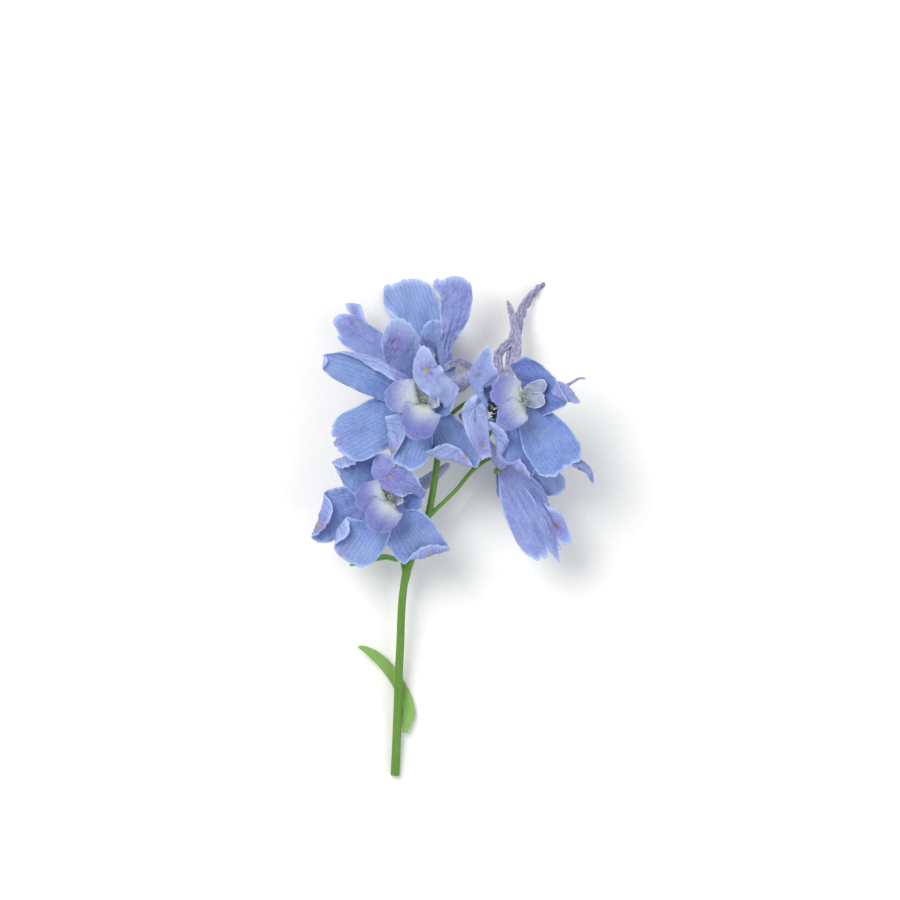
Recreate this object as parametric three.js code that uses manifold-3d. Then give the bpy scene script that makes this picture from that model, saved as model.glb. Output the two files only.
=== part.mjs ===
// A cut flowering sprig of a light blue garden delphinium, lying on its back on a flat surface.
//
// Units are millimetres and degrees, and +Z is up. The sprig is laid out in its growth frame: +Y runs up the
// stem, +X is to the right of somebody who looks down on it, and Z is the height over the surface. One
// movement at the end puts the middle of its outline over the origin.
import * as THREE from 'three';
import { mergeVertices } from 'three/addons/utils/BufferGeometryUtils.js';
import Module from 'manifold-3d';

const wasm = await Module();
wasm.setup();

// ---------------------------------------------------------------- driving dimensions
const BLADE_THICKNESS = 0.6;
const OUTLINE_CENTRE = { x: 0.7, y: -19.2 };
const GROUND_DEPTH = 20;

const STEM_RADIUS = { foot: 1.1, middle: 1.0, top: 0.8 };
const STALK_RADIUS = 0.5;
const STEM_SIDES = 8;

const BUTTON = { radius: 2.2, height: 1.0 };
const SEAT_GAP = 0.35;
const SEPAL_START = 1.6;
const UPRIGHT_LEAN = 45;
const NOTCH_SPREAD = 0.18;

const PETAL_HUB = { radius: 1.9, low: 1.35, high: 2.1 };
const PETAL_ROOT = PETAL_HUB.low + 0.3;
const CLAW = { length: 3.9, longer: 0.9, rise: 88, aside: 1.45, before: -0.6, radius: 0.9, fold: 84 };
const LIMB = { foot: 0.15, widens: 0.3, widest: 0.45, corner: 0.74, ruffle: 0.3, columns: 4 };
const CREST = { aside: 0.75, behind: 1.2, rise: 76, spread: 24 };
const CREST_BLADE = { width: 3.4, foot: 0.5, corner: 0.6, notch: 0.1, ruffle: 0.2, rows: 3, columns: 3 };

const STAMEN_HUB = { radius: 0.8, low: 2.45, high: 3.1 };
const STAMEN = { start: 0.3, low: 2.8, fan: 13, level: 2.85, step: 0.2, highest: 0.9, climb: 0.3, less: 0.2 };
const POD_HUB = { radius: 0.7, low: 3.6, high: 4.1 };
const POD = { count: 3, start: 0.25, radius: 0.36, tip: 0.2, spread: 0.4, middle: 5.2, high: 6.1 };

const SPUR = { sides: 6, steps: 7, creased: 0.1 };
const BLUNT_END = 0.75;
const CREASE_STEP = 2.6;
const FILAMENT_RADIUS = 0.3;
const ANTHER = { length: 0.75, radius: 0.5 };

const COLOURS = {
  sepals: 0x8ca5e8,
  petals: 0xc3bde8,
  stamens: 0x24264a,
  carpels: 0x7f9a4c,
  faded: 0x9a8fb4,
  stem: 0x5c8f2a,
  leaf: 0x78a850,
  bract: 0x8fae4a,
};

// ---------------------------------------------------------------- small helpers
const radians = THREE.MathUtils.degToRad;
const clamp = THREE.MathUtils.clamp;
const point = ([x, y, z]) => new THREE.Vector3(x, y, z);

/** The unit vector that leans away from straight up by `lean`, towards the compass heading `heading`. */
function leaning(heading, lean) {
  return new THREE.Vector3(0, 0, 1)
    .applyAxisAngle(new THREE.Vector3(0, 1, 0), radians(lean))
    .applyAxisAngle(new THREE.Vector3(0, 0, 1), radians(heading));
}

/** Six times the signed volume of an indexed triangle mesh. */
function signedVolume(positions, triangles) {
  const [a, b, c] = [new THREE.Vector3(), new THREE.Vector3(), new THREE.Vector3()];
  let sum = 0;
  for (let i = 0; i < triangles.length; i += 3) {
    a.fromArray(positions, 3 * triangles[i]);
    b.fromArray(positions, 3 * triangles[i + 1]);
    c.fromArray(positions, 3 * triangles[i + 2]);
    sum += a.dot(b.cross(c));
  }
  return sum;
}

/** Turns a closed geometry into a solid, with its doubled points merged and its faces pointing out. */
function toSolid(geometry) {
  const bare = geometry.clone();
  bare.deleteAttribute('normal');
  bare.deleteAttribute('uv');
  const merged = mergeVertices(bare, 1e-4);
  const positions = merged.attributes.position.array;
  const corners = merged.index.array;
  const kept = [];
  for (let i = 0; i < corners.length; i += 3) {
    const [a, b, c] = [corners[i], corners[i + 1], corners[i + 2]];
    if (a !== b && b !== c && c !== a) kept.push(a, b, c);
  }
  if (signedVolume(positions, kept) < 0) kept.reverse();
  return new wasm.Manifold(new wasm.Mesh({
    numProp: 3,
    vertProperties: new Float32Array(positions),
    triVerts: new Uint32Array(kept),
  }));
}

/** Joins a list of closed geometries that run into each other. */
function fuse(geometries) {
  return geometries.map(toSolid).reduce((whole, solid) => whole.add(solid));
}

/** Gives a solid back as a geometry. */
function toGeometry(solid) {
  const { vertProperties, triVerts } = solid.getMesh();
  const geometry = new THREE.BufferGeometry();
  geometry.setAttribute('position', new THREE.BufferAttribute(new Float32Array(vertProperties), 3));
  geometry.setIndex(new THREE.BufferAttribute(new Uint32Array(triVerts), 1));
  geometry.computeVertexNormals();
  return geometry;
}

/** The slab under the surface, which trims whatever rests on it to a small flat spot. */
function groundSlab() {
  const slab = new THREE.BoxGeometry(400, 400, GROUND_DEPTH);
  slab.translate(0, 0, -GROUND_DEPTH / 2);
  return toSolid(slab);
}

// ---------------------------------------------------------------- blades
/**
 * A closed blade between two skins that lie half a thickness either side of a sheet of points.
 * sheet[row][column] runs from the foot to the tip and from one margin to the other. Both skins are split
 * into triangles alike, so they never cross.
 */
function thicken(sheet, thickness = BLADE_THICKNESS) {
  const rows = sheet.length;
  const columns = sheet[0].length;
  const along = new THREE.Vector3();
  const across = new THREE.Vector3();
  const positions = [];
  for (const side of [1, -1]) {
    for (let i = 0; i < rows; i++) {
      for (let j = 0; j < columns; j++) {
        along.subVectors(sheet[Math.min(i + 1, rows - 1)][j], sheet[Math.max(i - 1, 0)][j]);
        across.subVectors(sheet[i][Math.min(j + 1, columns - 1)], sheet[i][Math.max(j - 1, 0)]);
        const normal = across.cross(along).normalize();
        positions.push(...sheet[i][j].clone().addScaledVector(normal, side * thickness / 2));
      }
    }
  }
  const skin = rows * columns;
  const triangles = [];
  const quad = (a, b, c, d) => triangles.push(a, b, c, a, c, d);
  for (let i = 0; i + 1 < rows; i++) {
    for (let j = 0; j + 1 < columns; j++) {
      const a = i * columns + j;
      const corners = [a, a + 1, a + columns + 1, a + columns];
      quad(...corners);
      const [p, q, r, s] = corners.map((corner) => corner + skin);
      triangles.push(r, q, p, s, r, p);
    }
  }
  const rim = [];
  for (let j = 0; j < columns; j++) rim.push(j);
  for (let i = 1; i < rows; i++) rim.push(i * columns + columns - 1);
  for (let j = columns - 2; j >= 0; j--) rim.push((rows - 1) * columns + j);
  for (let i = rows - 2; i > 0; i--) rim.push(i * columns);
  rim.forEach((a, k) => {
    const b = rim[(k + 1) % rim.length];
    quad(b, a, a + skin, b + skin);
  });
  const geometry = new THREE.BufferGeometry();
  geometry.setAttribute('position', new THREE.Float32BufferAttribute(positions, 3));
  geometry.setIndex(triangles);
  return geometry;
}

const PLAIN_BLADE = {
  heading: 0, rise: 0, roll: 0, root: [0, 0, 0], start: 0, spine: null,
  length: 24, width: 11, foot: 0.24, neck: 0, widest: 0.7, corner: 0.62, point: 0.5,
  lop: 0, sweep: 0, pinch: 0, notch: 0, lobes: [], sides: [],
  ruffle: 0.5, waves: 5, phase: 0, creases: [],
  rows: 7, columns: 6,
};

/** A smooth bump of height 1 at `place`, which has died away at twice its spread. */
const bump = (at, place, spread) => Math.exp(-(((at - place) / spread) ** 2));

/** Half the width of a blade at the share u of its length. */
function halfWidth(b, u) {
  const growth = Math.sin(Math.PI / 2 * clamp((u - b.neck) / (b.widest - b.neck), 0, 1));
  const past = Math.max(0, (u - b.widest) / (1 - b.widest));
  return b.width / 2 * (b.foot + (1 - b.foot) * growth) * (1 - b.pinch * past * past);
}

/** Bends the part of a blade beyond a crease line towards the inner face, on a round of the given radius. */
function bend(p, flat, { at, tilt = 0, turn, radius = 1.2 }) {
  const normal = { x: -Math.sin(radians(tilt)), y: Math.cos(radians(tilt)) };
  const beyond = flat.x * normal.x + (flat.y - at) * normal.y;
  if (beyond <= 0) return;
  const side = Math.sign(turn);
  const angle = Math.min(beyond / radius, radians(Math.abs(turn)));
  const a = p.x * normal.x + (p.y - at) * normal.y;
  const h = p.z * side;
  const past = a - radius * angle;
  const moved = radius * Math.sin(angle) + past * Math.cos(angle) - h * Math.sin(angle);
  const raised = radius * (1 - Math.cos(angle)) + past * Math.sin(angle) + h * Math.cos(angle);
  p.x += (moved - a) * normal.x;
  p.y += (moved - a) * normal.y;
  p.z = raised * side;
}

/** How far the share v of a blade's width reaches along it, as a share of its length. */
function endOf(b, v) {
  const round = b.corner + (1 - b.corner) * (1 - v * v) ** b.point;
  const lobes = b.lobes.reduce((sum, [place, amount, spread]) => sum + amount * bump(v, place, spread), 0);
  return round + lobes - b.notch * bump(v, 0, NOTCH_SPREAD);
}

/** The sheet of points of a blade: y runs along the midrib, x across it and z out of the inner face. */
function bladeSheet(b) {
  const sheet = [];
  for (let i = 0; i <= b.rows; i++) {
    const u = i / b.rows;
    const row = [];
    for (let j = 0; j <= b.columns; j++) {
      const v = Math.sin(Math.PI * (j / b.columns - 0.5));
      const y = b.length * u * endOf(b, v);
      const swell = b.sides.reduce((sum, [side, place, amount, spread]) =>
        sum * (1 + amount * bump(u, place, spread) * clamp(side * v, 0, 1)), 1);
      const x = v * halfWidth(b, u) * swell * (1 + b.lop * v) + b.sweep * y * y / b.length;
      const edge = Math.max(Math.abs(v), u) ** 4;
      const wave = Math.sin(b.waves * Math.atan2(x, y - b.length / 2) + radians(b.phase));
      const p = new THREE.Vector3(x, y, b.ruffle * edge * wave);
      const flat = { x, y };
      [...b.creases].reverse().forEach((crease) => bend(p, flat, crease));
      row.push(p);
    }
    sheet.push(row);
  }
  return sheet;
}

/** Carries a flat blade's sheet onto a curve: along the midrib, and turned about it by the roll. */
function followSpine(sheet, b, curve) {
  const last = curve.getLength();
  for (const p of sheet.flat()) {
    const t = clamp(p.y / last, 0, 1);
    const tangent = curve.getTangentAt(t);
    const across = tangent.clone().cross(new THREE.Vector3(0, 0, 1)).normalize();
    across.applyAxisAngle(tangent, radians(b.roll));
    const up = across.clone().cross(tangent);
    const [x, z] = [p.x, p.z];
    p.copy(curve.getPointAt(t)).addScaledVector(across, x).addScaledVector(up, z);
  }
}

/** A blade that leaves `origin` with its own heading, rise and roll, or that follows its spine from there. */
function blade(shape, origin = new THREE.Vector3()) {
  const b = { ...PLAIN_BLADE, ...shape };
  if (b.spine) {
    const curve = new THREE.CatmullRomCurve3(b.spine.map(point), false, 'centripetal');
    const sheet = bladeSheet({ ...b, length: curve.getLength() });
    followSpine(sheet, b, curve);
    return thicken(sheet).translate(origin.x, origin.y, origin.z);
  }
  const turn = new THREE.Euler(radians(b.rise), radians(b.roll), radians(b.heading - 90), 'ZXY');
  const out = new THREE.Vector3(b.start, 0, 0).applyAxisAngle(new THREE.Vector3(0, 0, 1), radians(b.heading));
  return thicken(bladeSheet(b))
    .applyMatrix4(new THREE.Matrix4().makeRotationFromEuler(turn))
    .translate(...point(b.root).add(out).add(origin));
}

/** A strap that follows a curve: widths are given at even places, and it turns from `roll` by `twist`. */
function strap({ path, widths, roll = 0, twist = 0, rows = 8, columns = 2 }) {
  const curve = new THREE.CatmullRomCurve3(path.map(point), false, 'centripetal');
  const sheet = [];
  for (let i = 0; i <= rows; i++) {
    const t = i / rows;
    const place = t * (widths.length - 1);
    const before = Math.min(Math.floor(place), widths.length - 2);
    const width = THREE.MathUtils.lerp(widths[before], widths[before + 1], place - before);
    const tangent = curve.getTangentAt(t);
    const across = tangent.clone().cross(new THREE.Vector3(0, 0, 1)).normalize();
    across.applyAxisAngle(tangent, radians(roll + twist * t));
    const middle = curve.getPointAt(t);
    const row = [];
    for (let j = 0; j <= columns; j++) {
      const x = width * (j / columns - 0.5);
      row.push(middle.clone().addScaledVector(across, x));
    }
    sheet.push(row);
  }
  return thicken(sheet);
}

/** A closed round rod along a curve, with its radius given at evenly spaced places and its ends blunted. */
function rod({ path, radii, sides = 6, steps = 8, creased = 0 }) {
  const curve = new THREE.CatmullRomCurve3(path.map(point), false, 'centripetal');
  const profile = [new THREE.Vector2(0, 0)];
  for (let i = 0; i <= steps; i++) {
    const place = i / steps * (radii.length - 1);
    const before = Math.min(Math.floor(place), radii.length - 2);
    const blunt = i === 0 || i === steps ? BLUNT_END : 1;
    const crumple = 1 + creased * Math.sin(CREASE_STEP * i);
    const radius = THREE.MathUtils.lerp(radii[before], radii[before + 1], place - before);
    profile.push(new THREE.Vector2(radius * blunt * crumple, i));
  }
  profile.push(new THREE.Vector2(0, steps));
  const geometry = new THREE.LatheGeometry(profile, sides);
  const frames = curve.computeFrenetFrames(steps, false);
  const places = geometry.attributes.position;
  for (let i = 0; i < places.count; i++) {
    const step = Math.round(places.getY(i));
    const p = curve.getPointAt(step / steps)
      .addScaledVector(frames.normals[step], places.getX(i))
      .addScaledVector(frames.binormals[step], places.getZ(i));
    places.setXYZ(i, p.x, p.y, p.z);
  }
  return geometry;
}

// ---------------------------------------------------------------- blooms
// Headings run anticlockwise from +X, as seen from above. A rise lifts a blade's tip, and a roll of 180 shows
// its outer face. A bloom's axis leans away from straight up by `lean`, towards `facing`, and `dorsal` is the
// heading of its spurred sepal before it leans. A blade's root and a spur's path are counted from the heart.
const BLOOMS = {
  bloom_left: {
    heart: [-6.9, 12.3, 20], facing: 38, lean: 4, dorsal: 38,
    sepals: [
      { heading: 160, rise: 10, length: 24.6, width: 13.2, lop: 0.47, widest: 0.5, corner: 0.74, point: 0.8,
        pinch: 0.3, phase: 40, root: [0, 0, 0.45], lobes: [[-0.5, -0.08, 0.3]], columns: 8,
        creases: [{ at: 52.2, tilt: -83.4, turn: 150, radius: 0.8 }] },
      { heading: 207, rise: 6, length: 22.6, width: 12.8, lop: -0.08, corner: 0.76, widest: 0.6,
        root: [0, 0, -0.45] },
      { heading: 252, rise: 4.5, length: 15.4, width: 16.4, lop: 0.27, foot: 0.1, widest: 0.8, corner: 0.72,
        point: 0.6, root: [0, 0, 0.45], lobes: [[-0.4, 0.05, 0.3]], sides: [[1, 0.62, 0.15, 0.18]],
        columns: 8, creases: [{ at: 18, tilt: -63.4, turn: 165, radius: 0.8 }] },
      { heading: -58, rise: 2, length: 19.8, width: 13.5, lop: 0.15, corner: 0.8, ruffle: 0.7,
        root: [0, 0, -0.45], rows: 8, creases: [{ at: 15, tilt: -46, turn: 155 }] },
      { spine: [[7, -1.5, 2.5], [5.3, 2.1, 5.2], [2.65, 4.85, 7.2], [0.95, 7, 7.6], [0.55, 9.8, 8],
        [0.6, 13.2, 8.6]],
        roll: 180, width: 5.8, foot: 0.62, widest: 0.8, corner: 0.4, point: 0.9, pinch: 0.1,
        sides: [[1, 0.6, 0.55, 0.08], [-1, 0.5, 0.2, 0.12]], rows: 9, columns: 4 },
      { heading: -8, rise: 26, length: 7.2, width: 6.5, rows: 4, columns: 4 },
    ],
    spur: { path: [[1, 1, -0.3], [5, 2.4, -4], [9.5, 4.4, -5.5], [14.3, 6.8, -5]],
      radii: [1.8, 2.1, 2.1, 1.1] },
    limbs: [8.2, 9.4], crest: 2.9, spread: 33, reach: 6, stamens: 5, clawLean: 13, crestRise: 84,
  },
  bloom_top: {
    heart: [-4, 17, 10.5], facing: 100, lean: 80, dorsal: -25,
    sepals: [
      { heading: 147, rise: -5, roll: 180, length: 28.4, width: 7.6, widest: 0.6, root: [-1.3, 0, 0],
        corner: 0.8, lobes: [[-0.62, -0.06, 0.1], [0.55, -0.07, 0.3]], sides: [[-1, 0.9, 0.8, 0.08]],
        rows: 9 },
      { spine: [[-0.2, -0.4, 0.6], [-3.4, 0.8, 1.6], [-5.9, 2.6, 2.6], [-7.6, 6.4, 4.4], [-8.2, 10, 6],
        [-8.8, 15.6, 8.2]],
        roll: 180, width: 9.4, foot: 0.16, neck: 0.28, widest: 0.68, corner: 0.7, point: 0.8 },
      { heading: 103, rise: -17.9, length: 28, width: 12.6, root: [0, 0, -1.4], corner: 0.78, sweep: -0.06,
        lobes: [[-0.75, 0.06, 0.2]], sides: [[-1, 0.72, -0.3, 0.14]] },
      { spine: [[1.4, -0.6, 0.5], [3.8, 1.8, 0.8], [2.9, 8, 2.6], [4.2, 13.2, 3.8], [5, 16.8, 4.8],
        [5.5, 21.2, 5.8], [4.7, 25.8, 6.8]],
        roll: 180, width: 7.5, foot: 0.42, neck: 0.36, widest: 0.8, corner: 0.8, rows: 8 },
      { heading: 95, rise: -6, length: 15.5, width: 7.4, foot: 0.15, root: [1.2, 0.1, -1.2], rows: 5,
        columns: 4 },
      { spine: [[2.6, 3.2, 1.4], [5.1, 4.6, 2.2], [6.8, 5, 2.2], [9.9, 2.6, 1.4]], width: 1.8, foot: 0.9,
        corner: 0.9, ruffle: 0, rows: 5, columns: 2 },
    ],
    spur: { path: [[-0.7, -0.2, -0.8], [-4, -4, -4.2], [-6, -11, -6], [-6, -17.5, -6]],
      radii: [1.4, 1.6, 1.2, 0.7] },
    limbs: [5, 5], crest: 3.6, spread: 26, reach: 2.8, fold: 10, size: 0.56, lift: 0.4, stamens: 3,
  },
  bloom_right: {
    heart: [17.3, 12.3, 22], facing: 10, lean: 13, dorsal: 15,
    sepals: [
      { heading: 25, rise: 36, length: 13.2, width: 15.4, lop: -0.2, foot: 0.72, corner: 0.72, rows: 8,
        creases: [{ at: 9.75, tilt: 31.4, turn: 140, radius: 0.8 }] },
      { heading: -57, rise: 8, length: 19, width: 12.6, corner: 0.84, ruffle: 0.7, root: [0, 0, 0.45] },
      { heading: -92, rise: 4, length: 19, width: 15, lop: 0.42, corner: 0.6, root: [0, 0, -0.45], rows: 8,
        creases: [{ at: 26.5, tilt: -74.8, turn: 155 }, { at: 14.4, tilt: -24, turn: 140 }] },
      { spine: [[0, 0, -0.2], [-5.5, 1.2, 0.2], [-9.8, 0.4, 0.9], [-11.2, -3.4, 1.8], [-9.9, -8.4, 2.4],
        [-7.4, -14.2, 2.2]],
        roll: 180, width: 6.2, foot: 0.16, neck: 0.48, widest: 0.85, corner: 0.6, pinch: 0.2, rows: 10,
        columns: 4 },
      { heading: 176, rise: 8, length: 22.2, width: 8.2, foot: 0.4, corner: 0.35, point: 1,
        root: [0, 0, 0.45], sides: [[-1, 0.7, 0.8, 0.13]], ruffle: 0.3, rows: 9, columns: 4,
        creases: [{ at: 6.8, tilt: 43, turn: 150, radius: 0.8 }] },
      { spine: [[11, -12.6, 2.3], [13.8, -15.4, 2.2], [16.4, -17.2, 1.6], [17.8, -20.6, 0.8]], width: 2.6,
        foot: 0.8, point: 1, corner: 0.3, ruffle: 0.2, rows: 5, columns: 2 },
      { heading: -27, rise: 26, roll: 180, length: 9, width: 3.6, root: [6.8, 3, 4.7], corner: 0.3,
        point: 0.8, rows: 4, columns: 2 },
    ],
    spur: { path: [[1.2, 0.4, -0.5], [4, 1, -5.5], [9.7, 2.7, -8], [13.2, 4.5, -7.5], [15.3, 5.1, -7]],
      radii: [1.7, 1.6, 1.1, 0.5] },
    limbs: [8, 7.8], crest: 7.2, spread: 17, reach: 7.6, veer: 6, climb: 1.2, stamens: 6, clawLean: 15,
    crestRise: 48,
  },
  bloom_lower: {
    heart: [-15.05, -11.7, 14], facing: 35, lean: 4, dorsal: 35,
    sepals: [
      { heading: 137, rise: 4, length: 17.4, width: 12, lop: -0.05, corner: 0.7, root: [0, 0, -0.4], rows: 8,
        creases: [{ at: 12.4, tilt: -15, turn: 150, radius: 1 }] },
      { heading: 201, rise: 6, length: 20.6, width: 12, lop: 0.17, corner: 0.76, root: [0, 0, -0.5], rows: 8,
        creases: [{ at: 16.5, tilt: -36.9, turn: 160, radius: 1 }] },
      { heading: 237, rise: 8, length: 17.4, width: 15.4, lop: 0.25, corner: 0.72, root: [0, 0, 0.5],
        columns: 8, creases: [{ at: 64.8, tilt: -85, turn: 150, radius: 0.9 }] },
      { heading: -55.5, rise: 2, length: 19.4, width: 12.6, lop: 0.15, widest: 0.6, corner: 0.55,
        point: 0.7, root: [0, 0, 0.45], lobes: [[-1, 0.24, 0.5]], rows: 8,
        creases: [{ at: 14.8, tilt: -17.3, turn: 150, radius: 0.9 }] },
      { spine: [[8.6, 0.6, 1.6], [5.6, 2.8, 4.4], [2.4, 4.1, 5.8], [-0.8, 6, 6], [-1.4, 8.2, 6],
        [-1.4, 11, 5.8]],
        roll: 180, width: 6.8, foot: 0.35, neck: 0.25, widest: 0.68, corner: 0.6, rows: 9, columns: 4 },
      { heading: 0, rise: 14, length: 7.4, width: 6.5, rows: 4, columns: 4 },
    ],
    spur: { path: [[1, 0.7, -0.4], [4, 1.8, -3.8], [8.1, 3.1, -6.2], [15, 8.4, -6.6]],
      radii: [1.7, 1.7, 1.5, 0.7] },
    limbs: [7.6, 8.2], crest: 3.4, spread: 20, reach: 4.5, stamens: 5, clawLean: 14, crestRise: 66,
    crestSpread: 40,
  },
  bloom_hanging: {
    heart: [12.6, -4.6, 9.5], facing: -55, lean: 98, dorsal: 90,
    sepals: [
      { heading: -65, rise: 12, roll: 180, length: 25, width: 8.6, root: [0.3, -0.3, 1.5], corner: 0.7,
        lobes: [[0.78, 0.2, 0.2], [0.42, -0.05, 0.1], [-0.1, -0.03, 0.12]] },
      { heading: -54.5, rise: 9, roll: 180, length: 25, width: 9.4, widest: 0.5, root: [0.8, 0.3, 1.3],
        corner: 0.7, lobes: [[0.1, -0.1, 0.09], [-0.6, -0.05, 0.12], [0.6, 0.06, 0.2]],
        sides: [[1, 0.76, -0.42, 0.1]], rows: 8 },
      { heading: -22, rise: -3, length: 16, width: 7.6, foot: 0.1, neck: 0.1, root: [1.2, 1.2, 0.2], rows: 5,
        columns: 4 },
      { heading: -58, rise: -28, length: 14.8, width: 6.4, foot: 0.15, root: [-0.8, -0.5, -1.5], rows: 5,
        columns: 4 },
      { heading: -42, rise: -28, length: 14.8, width: 8, foot: 0.15, root: [0.6, 0.4, -1.5], rows: 5,
        columns: 4 },
    ],
    spur: { path: [[0.8, 0.2, 0.9], [-2.4, 4.6, 4.8], [-7.5, 10.6, 5.4], [-10.4, 13.6, 4.8]],
      radii: [1.4, 1.5, 1.1, 0.6] },
    limbs: [5, 5], crest: 3.6, spread: 26, reach: 2.8, fold: 10, size: 0.56, lift: 0.4, stamens: 3,
  },
};

const FADED = {
  heart: [14, 16.9, 8], facing: 82, lean: 78,
  straps: [
    { path: [[0, 0, 0], [1.6, 8, -1.2], [3.6, 17, -4.2], [6.4, 21.6, -6.4], [9.6, 24.9, -7.9]],
      widths: [2, 3, 3.2, 2.9, 1.5], roll: 15, twist: 35 },
    { path: [[0.4, 0, 0], [2.6, 9, -0.6], [1.6, 16, -1.8], [0.3, 20.2, -2.6]],
      widths: [1.8, 2.6, 2.2, 1.1], roll: -10, twist: 40 },
    { path: [[-1, 0.6, 0], [-2, 6.6, 0.2], [1.2, 10.4, -0.4], [3, 14, -2]],
      widths: [1.6, 2.4, 2.4, 1.2], roll: 10, twist: 30 },
  ],
  spur: { path: [[0, 0.2, -0.9], [-0.9, -2.2, -3.6], [-2.4, -6.8, -4.2]], radii: [1, 0.9, 0.5] },
};

const STEM = {
  main: [[-13.75, -81.25, 0.78], [-13.2, -68, 2.2], [-12.5, -50, 4.2], [-11.1, -31.75, 7.4],
    [-5.9, -18, 10.4], [-3.25, -3, 12], [-2.7, 6, 11.6]],
  fork: [5.9, -4.8, 9.6],
};

const UP = new THREE.Vector3(0, 0, 1);

/** Stands a bloom's inner pieces, made round +Z with the spurred side at +Y, on its heart. */
function seatInBloom(bloom) {
  const lean = new THREE.Quaternion().setFromUnitVectors(UP, leaning(bloom.facing, bloom.lean));
  const turn = new THREE.Quaternion().setFromAxisAngle(UP, radians((bloom.dorsal ?? 90) - 90));
  const size = bloom.size ?? 1;
  const seat = point(bloom.heart).addScaledVector(leaning(bloom.facing, bloom.lean), bloom.lift ?? 0);
  return new THREE.Matrix4().compose(seat, lean.multiply(turn), new THREE.Vector3(size, size, 1));
}

/** A short upright disc. */
function hub({ radius, low, high }, sides = 8) {
  return new THREE.CylinderGeometry(radius, radius, high - low, sides)
    .rotateX(Math.PI / 2)
    .translate(0, 0, (low + high) / 2);
}

/** The small green button that carries the sepals. */
function button(bloom) {
  return new THREE.SphereGeometry(1, 10, 5)
    .scale(BUTTON.radius, BUTTON.radius, BUTTON.height)
    .applyMatrix4(seatInBloom({ ...bloom, size: 1, lift: 0 }));
}

/** Five sepals round the button, the upper one with its spur behind. */
function sepalWhorl(bloom) {
  const heart = point(bloom.heart);
  const start = bloom.lean < UPRIGHT_LEAN ? SEPAL_START : 0;
  const path = bloom.spur.path.map((step) => point(step).add(heart).toArray());
  const spur = rod({ ...SPUR, path, radii: bloom.spur.radii });
  return fuse([button(bloom), spur, ...bloom.sepals.map((sepal) => blade({ start, ...sepal }, heart))]);
}

/** The inner petals: two broad lower limbs on narrow claws and two small upper ones, on a ring. */
function petalWhorl(bloom) {
  const pieces = [hub(PETAL_HUB)];
  const clawLean = bloom.clawLean ?? 0;
  bloom.limbs.forEach((limb, k) => {
    const side = 2 * k - 1;
    const claw = CLAW.length + CLAW.longer * k;
    const length = claw + limb;
    const turn = (bloom.fold ?? CLAW.fold) - clawLean;
    pieces.push(blade({
      ...LIMB, heading: 270 + side * bloom.spread, rise: CLAW.rise - clawLean,
      root: [side * CLAW.aside, CLAW.before, PETAL_ROOT], length, width: limb, rows: bloom.size ? 4 : 7,
      neck: (claw + LIMB.widens) / length, widest: (claw + LIMB.widest * limb) / length,
      creases: [{ at: claw, turn: -turn, radius: CLAW.radius }],
    }));
    pieces.push(blade({
      ...CREST_BLADE, heading: 90 - side * (bloom.crestSpread ?? CREST.spread),
      rise: bloom.crestRise ?? CREST.rise, root: [side * CREST.aside, CREST.behind, PETAL_ROOT],
      length: bloom.crest,
    }));
  });
  pieces.forEach((piece) => piece.applyMatrix4(seatInBloom(bloom)));
  return fuse(pieces);
}

/** The cluster of stamens, which come out between the claws of the lower petals. */
function stamenCluster(bloom) {
  const pieces = [hub(STAMEN_HUB, 6)];
  const spacing = Math.min(STAMEN.highest, STAMEN.step * bloom.reach);
  for (let k = 0; k < bloom.stamens; k++) {
    const fan = 2 * k / (bloom.stamens - 1) - 1;
    const heading = radians(270 + (bloom.veer ?? 0) + STAMEN.fan * fan);
    const level = STAMEN.level + spacing * (k % 2);
    const reach = bloom.reach * (1 - STAMEN.less * (k % 3) / 2);
    const out = (radius, z) => [radius * Math.cos(heading), radius * Math.sin(heading), z];
    const tip = out(reach, level + (bloom.climb ?? STAMEN.climb));
    pieces.push(rod({
      path: [out(STAMEN.start, STAMEN.low), out(reach / 2, level), tip],
      radii: [FILAMENT_RADIUS, FILAMENT_RADIUS], sides: 4, steps: 2,
    }));
    pieces.push(new THREE.SphereGeometry(1, 4, 3)
      .scale(ANTHER.length, ANTHER.radius, ANTHER.radius)
      .rotateZ(heading)
      .translate(...tip));
  }
  pieces.forEach((piece) => piece.applyMatrix4(seatInBloom(bloom)));
  return fuse(pieces);
}

/** The three small pods in the middle. */
function podCluster(bloom) {
  const pieces = [hub(POD_HUB, 6)];
  for (let k = 0; k < POD.count; k++) {
    const angle = radians(90 + 360 * k / POD.count);
    const at = (radius, z) => [radius * Math.cos(angle), radius * Math.sin(angle), z];
    pieces.push(rod({
      path: [at(POD.start, POD_HUB.low + 0.2), at(POD.spread, POD.middle), at(1.3 * POD.spread, POD.high)],
      radii: [POD.radius, POD.radius, POD.tip], sides: 4, steps: 2,
    }));
  }
  pieces.forEach((piece) => piece.applyMatrix4(seatInBloom(bloom)));
  return fuse(pieces);
}

/** Where a flower stalk ends, just short of the bloom's button, and the point it comes from. */
function stalkEnd(bloom, run = 3) {
  const axis = leaning(bloom.facing, bloom.lean);
  const seat = BUTTON.height + SEAT_GAP;
  return [seat + run, seat].map((back) => point(bloom.heart).addScaledVector(axis, -back).toArray());
}

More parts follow.
